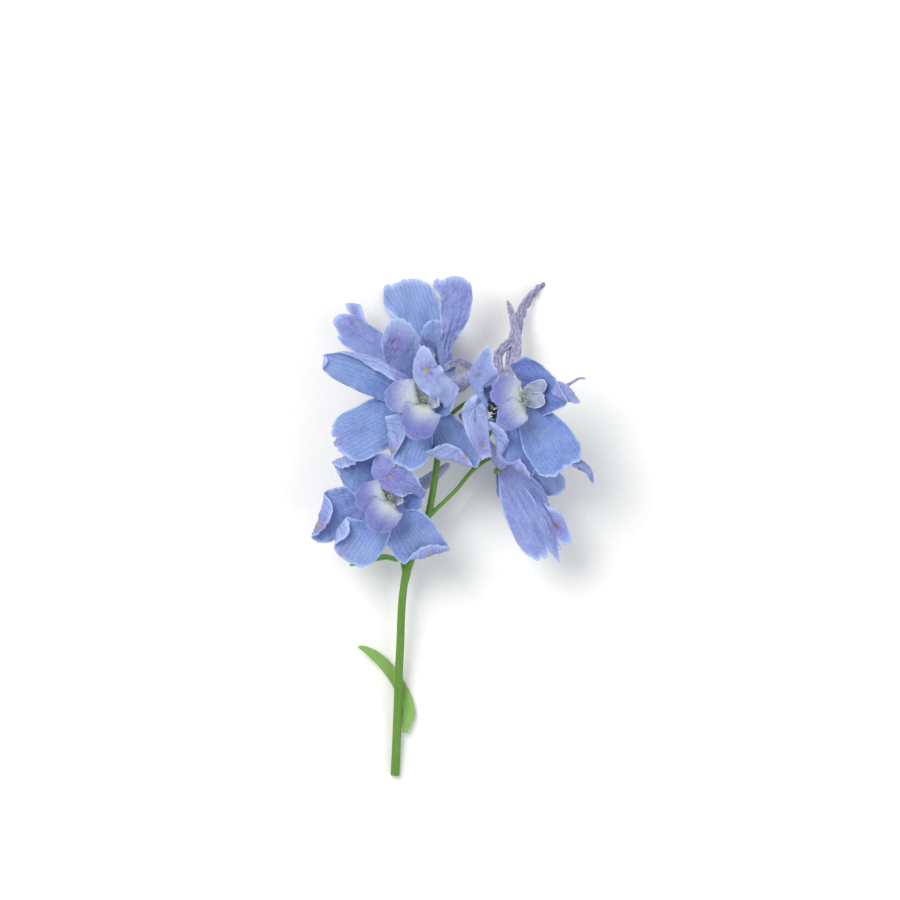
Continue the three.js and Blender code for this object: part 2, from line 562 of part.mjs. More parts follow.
/** The stem with its branches and flower stalks. */
function stemBody() {
  const stalk = (...path) =>
    rod({ path, radii: [STALK_RADIUS, STALK_RADIUS, STALK_RADIUS * 1.2], sides: 5, steps: 4 });
  return fuse([
    rod({ path: STEM.main, radii: [STEM_RADIUS.foot, STEM_RADIUS.middle, STEM_RADIUS.top],
      sides: STEM_SIDES, steps: 11 }),
    stalk([-3.1, 0, 12], ...stalkEnd(BLOOMS.bloom_left, 4)),
    stalk([-2.8, 3, 11.8], [-3.4, 10, 10.8], ...stalkEnd(BLOOMS.bloom_top, 2)),
    stalk([-11.1, -31.75, 7.4], [-12.2, -26, 7.8], [-13.6, -18, 8.6], ...stalkEnd(BLOOMS.bloom_lower, 2.5)),
    stalk([-4.9, -16, 10.7], [1.25, -10.15, 10.5], STEM.fork, ...stalkEnd(BLOOMS.bloom_hanging, 2)),
    stalk(STEM.fork, [8, 1, 10], ...stalkEnd(BLOOMS.bloom_right, 5)),
    stalk([-2.7, 4, 11.6], [1, 9.5, 9], [8, 13.5, 7.2], ...stalkEnd(FADED, 2)),
  ]);
}

/** The spent bloom: crumpled straps that twist away from a shrunken button. */
function fadedBloom() {
  const heart = point(FADED.heart);
  const shift = (path) => path.map((step) => point(step).add(heart).toArray());
  return fuse([
    button(FADED),
    rod({ ...SPUR, path: shift(FADED.spur.path), radii: FADED.spur.radii }),
    ...FADED.straps.map((piece) => strap({ ...piece, path: shift(piece.path) })),
  ]);
}

// ---------------------------------------------------------------- assembly
const sprig = new THREE.Group();
sprig.position.set(-OUTLINE_CENTRE.x, -OUTLINE_CENTRE.y, 0);

/** Adds one named piece to the sprig, trimmed level where it reaches the surface. */
function addPiece(name, solid, colour) {
  const trimmed = solid.subtract(groundSlab());
  const material = new THREE.MeshStandardMaterial({ color: colour, roughness: 0.6, metalness: 0 });
  const mesh = new THREE.Mesh(toGeometry(trimmed), material);
  mesh.name = name;
  sprig.add(mesh);
}

addPiece('stem', stemBody(), COLOURS.stem);
addPiece('leaf_lower', toSolid(strap({
  path: [[-11.2, -70.5, 1.8], [-10.4, -66, 1.1], [-11.1, -62.5, 0.9], [-12.2, -59.7, 0.7],
    [-13.8, -56.9, 0.8], [-15.6, -54.4, 1.3], [-17.86, -52, 2.2], [-20.8, -49.85, 3.4], [-22.8, -49, 4]],
  widths: [1, 3.2, 3.4, 3, 2.9, 2.4, 1], rows: 14,
})), COLOURS.leaf);
addPiece('bract', toSolid(strap({
  path: [[-12.9, -27.4, 7.4], [-16, -26.6, 7.2], [-20, -27.4, 6.6], [-25, -28.7, 5.2]],
  widths: [0.9, 1.4, 1.1, 0.7], rows: 7, columns: 2,
})), COLOURS.bract);
for (const [name, bloom] of Object.entries(BLOOMS)) {
  addPiece(`${name}_sepals`, sepalWhorl(bloom), COLOURS.sepals);
  addPiece(`${name}_petals`, petalWhorl(bloom), COLOURS.petals);
  addPiece(`${name}_stamens`, stamenCluster(bloom), COLOURS.stamens);
  addPiece(`${name}_pods`, podCluster(bloom), COLOURS.carpels);
}
addPiece('bloom_faded', fadedBloom(), COLOURS.faded);

export default sprig;
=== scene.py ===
"""Dresses the cut delphinium sprig: fine petals, stamens, pods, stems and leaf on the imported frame.

The tables give millimetres and degrees in the sprig's growth frame: +Y runs up the stem, +X is to the right
of somebody who looks down on it, and Z is the height over the surface. Meshes are in metres in the row frame.
"""
import logging
import math
from dataclasses import dataclass, field, replace
from enum import Enum

import bpy
import numpy as np
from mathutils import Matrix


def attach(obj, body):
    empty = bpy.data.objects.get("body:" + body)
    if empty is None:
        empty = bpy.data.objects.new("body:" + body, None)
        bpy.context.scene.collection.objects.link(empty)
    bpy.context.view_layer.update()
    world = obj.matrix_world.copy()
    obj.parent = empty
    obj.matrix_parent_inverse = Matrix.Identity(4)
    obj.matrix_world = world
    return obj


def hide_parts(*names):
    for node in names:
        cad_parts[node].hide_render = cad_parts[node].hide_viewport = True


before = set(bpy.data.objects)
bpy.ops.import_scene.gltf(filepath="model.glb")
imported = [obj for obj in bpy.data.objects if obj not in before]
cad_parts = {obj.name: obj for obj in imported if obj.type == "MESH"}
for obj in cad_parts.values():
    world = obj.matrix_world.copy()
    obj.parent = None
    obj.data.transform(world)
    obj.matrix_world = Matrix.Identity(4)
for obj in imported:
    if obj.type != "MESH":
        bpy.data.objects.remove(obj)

LOG = logging.getLogger("delphinium")

MM = 0.001
OUTLINE_CENTRE = np.array([0.7, -19.2, 0.0])
UP = np.array([0.0, 0.0, 1.0])
BODY = "root"

BUTTON_RADIUS = 2.0
BUTTON_HEIGHT = 0.95
SEAT_GAP = 0.35
STALK_RADIUS = 0.5
TILTED = 45.0

RIPPLE_WAVES = 6
RIPPLE_PEAK = 3.4
WHOLE_WAVE = 6.28
HALF_TURN = 3.1
TUBE_CHANCE = 0.37

Vec = tuple[float, float, float]


class Slot(Enum):
    """The record's material slots."""

    STEM = "stem"
    LEAF = "leaf"
    SEPALS = "sepals"
    PETALS = "petals"
    STAMENS = "stamens"
    PODS = "pods"
    FADED = "faded"


# ---------------------------------------------------------------- shapes of the pieces
@dataclass(frozen=True)
class Crease:
    """A line across a blade, past which it folds towards its inner face. A bow curves it about `apex`."""

    at: float
    tilt: float = 0.0
    turn: float = 0.0
    radius: float = 1.2
    bow: float = 0.0
    apex: float = 0.0


@dataclass(frozen=True)
class Blade:
    """One sepal or petal. The first block places it, the second shapes it and the third gives its looks.

    A lobe of its end and a ridge are each a place across, a height and a spread. A bulge of a side is the
    side's sign, a place along, an amount and a spread. Places are shares of the length or of half the width.
    """

    heading: float = 0.0
    rise: float = 0.0
    roll: float = 0.0
    root: Vec = (0.0, 0.0, 0.0)
    start: float | None = None
    spine: tuple[Vec, ...] = ()

    length: float = 24.0
    width: float = 11.0
    foot: float = 0.24
    neck: float = 0.0
    widest: float = 0.7
    corner: float = 0.62
    point: float = 0.5
    lop: float = 0.0
    sweep: float = 0.0
    pinch: float = 0.0
    notch: float = 0.0
    ruffle: float = 0.5
    waves: float = 5.0
    phase: float = 0.0
    creases: tuple[Crease, ...] = ()
    lobes: tuple[tuple[float, float, float], ...] = ()
    sides: tuple[tuple[float, float, float, float], ...] = ()
    ridges: tuple[tuple[float, float, float], ...] = ()

    gland: float = 1.0
    gland_at: tuple[float, float] = (0.86, 0.0)
    gland_size: float = 0.5
    halo: float = 0.5
    age: float = 0.0
    brown: float = 0.0
    blush: float = 0.0
    # Painted shade: darkens the blade, and more so near its foot, where the blades lie in shade.
    dark: float = 0.0
    # Painted light: lightens the blade towards its tip.
    pale: float = 0.0
    rim: float = 0.0
    # Painted light and shade over the whole blade: above 0 it darkens, below 0 it lightens.
    shade: float = 0.0
    crumple: float = 0.3
    claw: float = 0.0


@dataclass(frozen=True)
class Spur:
    """The hollow spur behind the upper sepal: its route from the heart and its radii."""

    path: tuple[Vec, ...]
    radii: tuple[float, ...]
    age: float = 0.85

    def route(self, heart: np.ndarray) -> tuple[Vec, ...]:
        """The route from a heart in its place."""
        return tuple(tuple(np.array(point) + heart) for point in self.path)


@dataclass(frozen=True)
class Bloom:
    """One open bloom."""

    heart: Vec
    facing: float
    lean: float
    dorsal: float
    sepals: tuple[Blade, ...]
    spur: Spur
    limbs: tuple[float, float]
    crest: tuple[float, float]
    spread: float
    reach: float
    stamens: int
    folded: float = 84.0
    size: float = 1.0
    lift: float = 0.0
    veer: float = 0.0
    claw_lean: float = 0.0
    crest_rise: float = 76.0
    crest_spread: float = 24.0
    crest_turn: float = 0.0
    crest_width: float = 3.6
    fan: float = 0.42
    # Painted light and shade of the two lower petals: above 0 darkens, below 0 lightens.
    limb_shades: tuple[float, float] = (0.0, 0.0)
    limb_widths: tuple[float, float] = (1.0, 1.0)
    limb_corner: float = 0.7
    # Painted light and shade of the upper petals: below 0 lightens them where they lie in shade.
    crest_shade: float = 0.0


BLOOMS: dict[str, Bloom] = {
    "bloom_left": Bloom(
        heart=(-6.9, 12.3, 20), facing=38, lean=4, dorsal=38,
        sepals=(
            Blade(heading=160, rise=10, length=27, width=13.2, lop=0.47, widest=0.46, corner=0.675, point=0.8,
                  pinch=0.3, phase=40, root=(0, 0, 0.45), lobes=((-0.5, -0.08, 0.3),), gland=0.3,
                  creases=(Crease(24.2, 25, 150, 0.5), Crease(55.5, -83.4, 150, 0.8, 0.018, 39.8)),
                  gland_at=(1.0, -0.1), pale=0.3),
            Blade(heading=207, rise=6, length=22.6, width=12.8, lop=-0.08, corner=0.76, widest=0.6,
                  root=(0, 0, -0.45), lobes=((0.2, -0.05, 0.08),), gland_at=(0.99, 0.1), brown=0.9, pale=0.2),
            Blade(heading=252, rise=4.5, length=15.4, width=16.4, lop=0.27, foot=0.1, widest=0.8, corner=0.72,
                  point=0.6, root=(0, 0, 0.45), creases=(Crease(18, -63.4, 165, 0.8),),
                  lobes=((-0.4, 0.05, 0.3),), sides=((1, 0.75, 0.2, 0.16), (1, 0.35, -0.3, 0.14)),
                  gland_at=(0.86, 0.62), brown=0.6, pale=0.15),
            Blade(heading=-58, rise=2, length=19.8, width=13.5, lop=0.15, corner=0.8, root=(0, 0, -0.45),
                  creases=(Crease(15, -46, 155),), gland_at=(0.97, 0.3), brown=0.6, pale=0.3, ruffle=0.7),
            Blade(spine=((7, -1.5, 2.5), (5.3, 2.1, 5.2), (2.65, 4.85, 7.2), (0.95, 7, 7.6), (0.55, 9.8, 8),
                         (0.6, 13.2, 8.6)), roll=180, width=6.2, foot=0.5, neck=0.12, widest=0.48, corner=0.6,
                  point=0.75, pinch=0.1, halo=0.9, gland_at=(0.66, -0.1), gland_size=0.9,
                  sides=((1, 0.42, 0.55, 0.05), (1, 0.86, 0.3, 0.16), (-1, 0.33, 0.3, 0.08),
                         (-1, 0.95, 0.3, 0.16)), ridges=((0.0, -0.5, 0.25),), pale=0.5, blush=0.1,
                  shade=-0.75),
            # A small blade under the hood, darkened: painted shade inside the hood.
            Blade(heading=-8, rise=26, length=7.2, width=6.5, gland=0, dark=0.75),
        ),
        spur=Spur(((1, 1, -0.3), (5, 2.4, -4), (9.5, 4.4, -5.5), (14.3, 6.8, -5)), (1.8, 2.1, 2.1, 1.1)),
        limbs=(8.2, 8.9), limb_corner=0.62, crest=(5.0, 4.4), crest_width=4.4, crest_turn=8,
        limb_shades=(-0.3, 0.6), crest_shade=-0.9, spread=33, reach=7.2, stamens=5, claw_lean=13,
        crest_rise=42, crest_spread=50,
    ),
    "bloom_top": Bloom(
        heart=(-4, 17, 10.5), facing=100, lean=80, dorsal=-25,
        sepals=(
            Blade(heading=147, rise=-5, roll=180, length=28.4, width=7.6, widest=0.6, root=(-1.3, 0, 0),
                  corner=0.8, lobes=((-0.62, -0.06, 0.1), (0.55, -0.07, 0.3), (-1, 0.1, 0.22)),
                  sides=((-1, 0.96, 0.75, 0.09),), ridges=((-0.25, -0.9, 0.22),), gland_at=(0.82, -0.5),
                  halo=0.6, pale=0.1, shade=0.15),
            Blade(spine=((-0.2, -0.4, 0.6), (-3.4, 0.8, 1.6), (-5.9, 2.6, 2.6), (-7.6, 6.4, 4.4),
                         (-8.2, 10, 6), (-8.8, 15.6, 8.2)), roll=180, width=9.4, foot=0.16, neck=0.28,
                  widest=0.68, corner=0.7, point=0.8, halo=1, gland_at=(0.7, 0.31), pale=1, dark=0.6),
            Blade(heading=103, rise=-17.9, length=28, width=12.6, root=(0, 0, -1.4), corner=0.78, sweep=-0.06,
                  lobes=((-0.75, 0.06, 0.2),), sides=((-1, 0.72, -0.3, 0.14), (-1, 0.95, 0.12, 0.07)),
                  gland=0, pale=0.4),
            Blade(spine=((1.4, -0.6, 0.5), (3.6, 1.8, 0.8), (2.75, 8, 2.6), (4.2, 13.2, 3.8),
                         (5, 16.8, 4.8), (5.5, 21.2, 5.8), (4.7, 25.8, 6.8)), roll=180, width=8, foot=0.44,
                  neck=0.48, widest=0.86, corner=0.87, halo=0.4, shade=0.1, lobes=((1, 0.09, 0.3),),
                  sides=((1, 0.97, 0.35, 0.05),), ridges=((-0.3, -0.4, 0.15), (0.3, -0.4, 0.15)), blush=0.8,
                  brown=0.1, crumple=0.5, dark=0.25),
            Blade(heading=95, rise=-6, length=15.5, width=7.4, foot=0.15, root=(1.2, 0.1, -1.2), gland=0,
                  pale=0.4),
            Blade(spine=((2.6, 3.2, 1.4), (5.1, 4.6, 2.2), (6.8, 5, 2.2), (9.9, 2.6, 1.4)), width=1.9,
                  foot=0.9, corner=0.9, ruffle=0, gland=0, age=1, dark=0.5),
        ),
        spur=Spur(((-0.7, -0.2, -0.8), (-4, -4, -4.2), (-6, -11, -6), (-6, -17.5, -6)), (1.4, 1.6, 1.2, 0.7)),
        limbs=(5, 5), crest=(3.6, 3.6), spread=26, reach=2.8, folded=10, size=0.56, lift=0.4, stamens=5,
    ),
    "bloom_right": Bloom(
        heart=(17.3, 12.3, 22), facing=10, lean=13, dorsal=15,
        sepals=(
            # The cupped sepal: its inside is darkened as painted shade in the cup.
            Blade(heading=25, rise=36, length=10.5, width=15.3, lop=-0.216, foot=0.97, corner=0.43,
                  point=0.72, lobes=((1, 0.41, 0.5),), ruffle=0.3, gland=0, dark=0.8, rim=0.6),
            Blade(heading=-57, rise=8, length=19, width=12.6, corner=0.84, ruffle=0.7, root=(0, 0, 0.45),
                  lobes=((-0.65, 0.04, 0.14), (0.0, -0.03, 0.12), (0.55, 0.03, 0.14)), gland=0, crumple=0.4,
                  shade=0.1),
            Blade(heading=-92, rise=4, length=19, width=15, lop=0.42, corner=0.6, root=(0, 0, -0.45),
                  creases=(Crease(26.5, -74.8, 155), Crease(14.4, -24, 140)), gland_at=(0.9, 0.1), brown=0.5,
                  shade=0.2, blush=0.2),
            Blade(spine=((0, 0, -0.2), (-5.5, 1.2, 0.2), (-9.8, 0.4, 0.9), (-11.2, -3.4, 1.8),
                         (-10.3, -8.4, 2.4), (-8.2, -14.4, 2.2)), roll=180, width=6.2, foot=0.12, neck=0.6,
                  widest=0.9, corner=0.6, pinch=0.2, lobes=((-0.5, 0.06, 0.2), (0.5, 0.05, 0.2)),
                  gland_at=(0.86, 0.0), blush=0.4, brown=0.3, halo=0.7, pale=0.6, shade=-0.1),
            Blade(heading=176, rise=8, length=22.9, width=8.2, foot=0.4, corner=0.35, point=1,
                  root=(0, 0, 0.45), creases=(Crease(8, 40, 150, 0.8),), lobes=((-1, 0.35, 0.3),),
                  sides=((-1, 0.7, -0.8, 0.15),), gland_at=(0.68, 0.35), pale=0.4, ridges=((0, 0.5, 0.2),)),
            Blade(spine=((11, -12.6, 1.3), (13.8, -15.4, 1.8), (16.4, -17.2, 1.6), (17.8, -20.6, 0.8)),
                  width=2.6, foot=0.8, point=1, corner=0.3, ruffle=0.3, gland=0, blush=0.8, age=0.3),
            Blade(heading=-33, rise=-4, roll=180, length=7.4, width=3.6, root=(8.2, 3.3, 6.2), start=0,
                  foot=0.75, widest=0.3, corner=0.3, point=0.8, lobes=((0.5, -0.12, 0.2),), halo=0.3,
                  gland=0.5, gland_at=(0.3, 0.3), blush=0.5, pale=0.9),
        ),
        spur=Spur(((1.2, 0.4, -0.5), (4, 1, -5.5), (9.7, 2.7, -8), (13.4, 4.7, -7.5), (14.6, 5.4, -7.2),
                   (16.4, 5.3, -7)), (1.7, 1.6, 1.1, 0.55, 0.35, 0.25)),
        limbs=(8, 8.5), crest=(7.8, 6), spread=20, reach=9.4, veer=6, stamens=34, claw_lean=15, crest_rise=48,
        crest_turn=8, crest_spread=15, crest_width=3.9, fan=0.6, limb_widths=(0.95, 0.78),
    ),
    "bloom_lower": Bloom(
        heart=(-15.05, -11.7, 14), facing=35, lean=4, dorsal=35,
        sepals=(
            Blade(heading=137, rise=4, length=17.4, width=12, lop=-0.05, corner=0.7, root=(0, 0, -0.4),
                  creases=(Crease(12.4, -15, 150, 1.0),), sides=((-1, 1.1, -0.5, 0.4),), gland=0, pale=0.5),
            Blade(heading=201, rise=6, length=20.6, width=12, lop=0.17, corner=0.76, root=(0, 0, -0.5),
                  creases=(Crease(16.5, -36.9, 160, 1.0),), halo=0.9, gland_at=(0.92, 0.15), brown=0.9,
                  blush=0.4, shade=0.15),
            Blade(heading=237, rise=8, length=17.4, width=15.4, lop=0.25, corner=0.72, root=(0, 0, 0.5),
                  creases=(Crease(30.6, -75, 150, 0.9),), sides=((1, 0.45, -0.85, 0.22),),
                  gland_at=(0.97, 0.3), brown=0.4, pale=0.4),
            Blade(heading=-55.5, rise=2, length=19.4, width=12.6, lop=0.15, widest=0.6, corner=0.55,
                  point=0.7, root=(0, 0, 0.45), creases=(Crease(14.8, -17.3, 150, 0.9),),
                  lobes=((-1, 0.24, 0.5),), blush=0.35, brown=0.5, gland_at=(0.9, 0.0), pale=0.2),
            Blade(spine=((8.6, 0.6, 1.6), (5.6, 2.8, 4.4), (2.4, 4.1, 5.8), (-0.8, 6, 6), (-1.4, 8.2, 6),
                         (-1.4, 11, 5.8)), roll=180, width=6.8, foot=0.35, neck=0.25, widest=0.68, corner=0.6,
                  halo=1, blush=0.7, shade=0.4, gland_at=(0.62, 0.0), ridges=((0.0, -0.5, 0.25),), brown=0.2),
            # A small blade under the hood, darkened: painted shade inside the hood.
            Blade(heading=0, rise=14, length=7.4, width=6.5, gland=0, dark=0.75),
        ),
        spur=Spur(((1, 0.7, -0.4), (4, 1.8, -3.8), (8.1, 3.1, -6.2), (15, 8.4, -6.6)), (1.7, 1.7, 1.5, 0.7)),
        limbs=(7.6, 8.2), limb_corner=0.6, crest=(3.4, 3.4), limb_shades=(0.3, 0.5), spread=20, reach=4.5,
        stamens=5, claw_lean=14, crest_rise=45, crest_spread=40, crest_shade=-0.6,
    ),
    "bloom_hanging": Bloom(
        heart=(12.6, -4.6, 9.5), facing=-55, lean=98, dorsal=90,
        sepals=(
            Blade(heading=-65, rise=12, roll=180, length=25, width=8.6, root=(0.3, -0.3, 1.5), corner=0.7,
                  lobes=((0.78, 0.2, 0.2), (0.42, -0.05, 0.1), (-0.1, -0.03, 0.12)), gland=0,
                  ridges=((0.1, -0.8, 0.16), (0.6, -0.6, 0.12), (-0.45, -0.5, 0.14)), blush=0.45,
                  crumple=0.35, shade=0.2),
            Blade(heading=-54.5, rise=9, roll=180, length=25, width=9.4, widest=0.5, root=(0.8, 0.3, 1.3),
                  corner=0.7, lobes=((0.1, -0.1, 0.09), (-0.6, -0.05, 0.12), (0.6, 0.06, 0.2)),
                  sides=((1, 0.76, -0.42, 0.1),), gland_at=(0.78, 0.45),
                  ridges=((0.55, 0.7, 0.1), (0.0, -0.5, 0.2)), brown=1, blush=0.4, crumple=0.4, shade=0.12),
            Blade(heading=-22, rise=-3, length=16, width=7.6, foot=0.1, neck=0.1, root=(1.2, 1.2, 0.2),
                  gland=0, pale=0.75),
            Blade(heading=-58, rise=-28, length=14.8, width=6.4, foot=0.15, root=(-0.8, -0.5, -1.5), gland=0),
            Blade(heading=-42, rise=-28, length=14.8, width=8, foot=0.15, root=(0.6, 0.4, -1.5), gland=0),
        ),
        spur=Spur(((0.8, 0.2, 0.9), (-2.4, 4.6, 4.8), (-7.5, 10.6, 5.4), (-10.4, 13.6, 4.8)),
                  (1.4, 1.5, 1.1, 0.6), age=0.5),
        limbs=(5, 5), crest=(3.6, 3.6), spread=26, reach=2.8, folded=10, size=0.56, lift=0.4, stamens=5,
    ),
}


@dataclass(frozen=True)
class Strap:
    """A ribbon along a route, with its widths at evenly spaced places."""

    path: tuple[Vec, ...]
    widths: tuple[float, ...]
    roll: float = 0.0
    twist: float = 0.0
    crumple: float = 0.0
    waves: float = 0.0


@dataclass(frozen=True)
class FadedBloom:
    """The spent bloom: crumpled straps and a small spur on a shrunken button."""

    heart: Vec
    facing: float
    lean: float
    straps: tuple[Strap, ...]
    spur: Spur


FADED = FadedBloom(
    heart=(14, 16.9, 8), facing=82, lean=78,
    straps=(
        Strap(((0, 0, 0), (1.6, 8, -1.2), (3.6, 17, -4.2), (6.4, 21.6, -6.4), (9.6, 24.9, -7.9)),
              (2, 3, 3.2, 2.9, 1.5), roll=15, twist=35, crumple=0.4, waves=7),
        Strap(((0.4, 0, 0), (2.6, 9, -0.6), (1.6, 16, -1.8), (0.3, 20.2, -2.6)),
              (1.8, 2.6, 2.2, 1.1), roll=-10, twist=40, crumple=0.3, waves=6),
        Strap(((-1, 0.6, 0), (-2, 6.6, 0.2), (1.2, 10.4, -0.4), (3, 14, -2)),
              (1.6, 2.4, 2.4, 1.2), roll=10, twist=30, crumple=0.3, waves=5),
    ),
    spur=Spur(((0, 0.2, -0.9), (-0.9, -2.2, -3.6), (-2.4, -6.8, -4.2)), (1, 0.9, 0.5), age=1),
)

STEM_MAIN: tuple[Vec, ...] = (
    (-13.75, -81.25, 0.78), (-13.2, -68, 2.2), (-12.5, -50, 4.2), (-11.1, -31.75, 7.4),
    (-5.9, -18, 10.4), (-3.25, -3, 12), (-2.7, 6, 11.6),
)
STEM_RADII = (1.1, 0.95, 0.75)
FORK: Vec = (5.9, -4.8, 9.6)

LEAF = Strap(
    ((-11.2, -70.5, 1.8), (-10.4, -66, 1.1), (-11.1, -62.5, 0.9), (-12.2, -59.7, 0.7), (-13.8, -56.9, 0.8),
     (-15.6, -54.4, 1.3), (-17.86, -52, 2.2), (-20.8, -49.85, 3.4), (-22.8, -49, 4)),
    (1, 3.2, 3.4, 3, 2.9, 2.4, 1),
)
BRACT = Strap(
    ((-12.9, -27.4, 7.4), (-16, -26.6, 7.2), (-20, -27.4, 6.6), (-25, -28.7, 5.2)),
    (0.9, 1.4, 1.1, 0.7),
)


# ---------------------------------------------------------------- numbers in space
def smooth(low: float, high: float, value: np.ndarray) -> np.ndarray:
    """Eases from 0 where the value is `low` to 1 where it is `high`."""
    share = np.clip((value - low) / (high - low), 0.0, 1.0)
    return share * share * (3.0 - 2.0 * share)


def bell(value: np.ndarray, middle: float, spread: float) -> np.ndarray:
    """A bell curve of height 1 round `middle`."""
    return np.exp(-((value - middle) / spread) ** 2)


def spaced(share: np.ndarray, values: tuple[float, ...]) -> np.ndarray:
    """Reads values that are evenly spaced along a length at shares of that length."""
    return np.interp(share, np.linspace(0, 1, len(values)), values)


def ripple(x: np.ndarray, y: np.ndarray, seed: int, size: float) -> np.ndarray:
    """A smooth random relief made of a few crossing waves.

    Args:
        x: Places along the first axis.
        y: Places along the second axis.
        seed: Picks the waves.
        size: The length of the waves.

    Returns:
        Heights of about -1 to 1.
    """
    draw = np.random.default_rng(seed)
    total = np.zeros(np.broadcast(x, y).shape)
    for _ in range(RIPPLE_WAVES):
        angle = draw.uniform(0, 2 * math.pi)
        step = 2 * math.pi / (size * draw.uniform(0.6, 1.6))
        along = (x * math.cos(angle) + y * math.sin(angle)) * step
        total = total + np.sin(along + draw.uniform(0, WHOLE_WAVE))
    return total / RIPPLE_PEAK


def rotation(axis: np.ndarray, angle: float | np.ndarray, vectors: np.ndarray) -> np.ndarray:
    """Turns vectors about an axis by Rodrigues' formula.

    Args:
        axis: The unit axis, one or one for each vector.
        angle: The angle in radians, one or one for each vector.
        vectors: The vectors to turn.

    Returns:
        The turned vectors.
    """
    axis = np.broadcast_to(axis, vectors.shape)
    angle = np.asarray(angle)[..., None]
    along = np.sum(axis * vectors, axis=-1, keepdims=True) * axis
    return vectors * np.cos(angle) + np.cross(axis, vectors) * np.sin(angle) + along * (1 - np.cos(angle))


def unit(vectors: np.ndarray) -> np.ndarray:
    """Scales vectors, in the last dimension, to length 1."""
    return vectors / np.maximum(np.linalg.norm(vectors, axis=-1, keepdims=True), 1e-12)


def compass(heading: float) -> np.ndarray:
    """The level unit vector of a heading, in degrees anticlockwise from +X."""
    return np.array([math.cos(math.radians(heading)), math.sin(math.radians(heading)), 0.0])


def leaning(heading: float, lean: float) -> np.ndarray:
    """The unit vector that leans from straight up towards a heading, both in degrees."""
    return UP * math.cos(math.radians(lean)) + compass(heading) * math.sin(math.radians(lean))


class SpaceCurve:
    """A centripetal Catmull-Rom curve that is measured by its length."""

    SAMPLES = 60
    TANGENT_REACH = 0.004

    def __init__(self, points: tuple[Vec, ...] | np.ndarray) -> None:
        """Samples the curve.

        Args:
            points: The points that the curve runs through.
        """
        knots = np.array(points, float)
        knots = np.vstack([2 * knots[0] - knots[1], knots, 2 * knots[-1] - knots[-2]])
        gaps = np.sqrt(np.linalg.norm(np.diff(knots, axis=0), axis=1))
        pieces = []
        for k in range(1, len(knots) - 2):
            before, a, b, after = knots[k - 1:k + 3]
            g0, g1, g2 = gaps[k - 1:k + 2]
            leave = g1 * ((a - before) / g0 - (b - before) / (g0 + g1) + (b - a) / g1)
            arrive = g1 * ((b - a) / g1 - (after - a) / (g1 + g2) + (after - b) / g2)
            s = np.linspace(0, 1, self.SAMPLES, endpoint=k == len(knots) - 3)[:, None]
            pieces.append(a + leave * s + (3 * (b - a) - 2 * leave - arrive) * s ** 2
                          + (2 * (a - b) + leave + arrive) * s ** 3)
        self.points = np.vstack(pieces)
        steps = np.linalg.norm(np.diff(self.points, axis=0), axis=1)
        self.marks = np.concatenate([[0.0], np.cumsum(steps)])
        self.length = float(self.marks[-1])

    def at(self, share: np.ndarray) -> np.ndarray:
        """Points at shares, from 0 to 1, of the curve's length."""
        marks = np.clip(share, 0, 1) * self.length
        return np.stack([np.interp(marks, self.marks, self.points[:, k]) for k in range(3)], axis=-1)

    def tangent(self, share: np.ndarray) -> np.ndarray:
        """Unit tangents at shares, from 0 to 1, of the curve's length."""
        share = np.clip(share, self.TANGENT_REACH, 1 - self.TANGENT_REACH)
        return unit(self.at(share + self.TANGENT_REACH) - self.at(share - self.TANGENT_REACH))


# ---------------------------------------------------------------- meshes
LOOKS = {
    "tone": ("outer", "age", "halo"),
    "spot": ("gland", "margin", "chance"),
    # The blush is the bloom's own violet; the other two are painted shade and painted light.
    "blush_and_painted_shading": ("blush", "dark", "pale"),
}


def looks_of(shape: tuple[int, int], **shares: float | np.ndarray) -> dict[str, np.ndarray]:
    """Gathers a grid's shares by attribute name, three for each point. A share that isn't given is 0."""
    return {name: np.stack([np.broadcast_to(shares.get(key, 0.0), shape).ravel() for key in keys], axis=-1)
            for name, keys in LOOKS.items()}


def place_object(name: str, data: bpy.types.ID) -> bpy.types.Object:
    """Puts a new object with this data into the scene.

    Args:
        name: Its name.
        data: Its mesh, curve, light or camera.

    Returns:
        The object.
    """
    made = bpy.data.objects.new(name, data)
    bpy.context.scene.collection.objects.link(made)
    return made


@dataclass
class Patch:
    """A piece of surface on its way into a mesh, with a UV place and the looks of each point."""

    points: np.ndarray
    faces: np.ndarray
    uv: np.ndarray
    looks: dict[str, np.ndarray]
    material: int = 0


@dataclass
class Surface:
    """Gathers patches and makes one mesh object of them."""

    name: str
    materials: list[bpy.types.Material]
    patches: list[Patch] = field(default_factory=list)

    def build(self) -> bpy.types.Object:
        """Makes the object, in metres, with its UV map and its colour attributes.

        Returns:
            The new object.
        """
        offsets = np.cumsum([0] + [len(p.points) for p in self.patches])
        points = np.vstack([p.points for p in self.patches]) - OUTLINE_CENTRE
        points[:, 2] = np.maximum(points[:, 2], 0.0)
        corners = np.vstack([p.faces + o for p, o in zip(self.patches, offsets)])
        mesh = bpy.data.meshes.new(self.name)
        mesh.vertices.add(len(points))
        mesh.vertices.foreach_set("co", (points * MM).ravel())
        mesh.loops.add(corners.size)
        mesh.loops.foreach_set("vertex_index", corners.ravel().astype(np.int32))
        mesh.polygons.add(len(corners))
        mesh.polygons.foreach_set("loop_start", np.arange(0, corners.size, 4, dtype=np.int32))
        slots = [np.full(len(p.faces), p.material, np.int32) for p in self.patches]
        mesh.polygons.foreach_set("material_index", np.concatenate(slots))
        mesh.polygons.foreach_set("use_smooth", np.ones(len(corners), bool))
        uv = np.vstack([p.uv for p in self.patches])
        mesh.uv_layers.new(name="blade").data.foreach_set("uv", uv[corners.ravel()].ravel())
        for name in LOOKS:
            values = np.vstack([p.looks[name] for p in self.patches])
            colours = np.hstack([values, np.ones((len(values), 1))])
            mesh.color_attributes.new(name, "FLOAT_COLOR", "POINT").data.foreach_set("color", colours.ravel())
        for material in self.materials:
            mesh.materials.append(material)
        mesh.update(calc_edges=True)
        mesh.validate()
        return place_object(self.name, mesh)


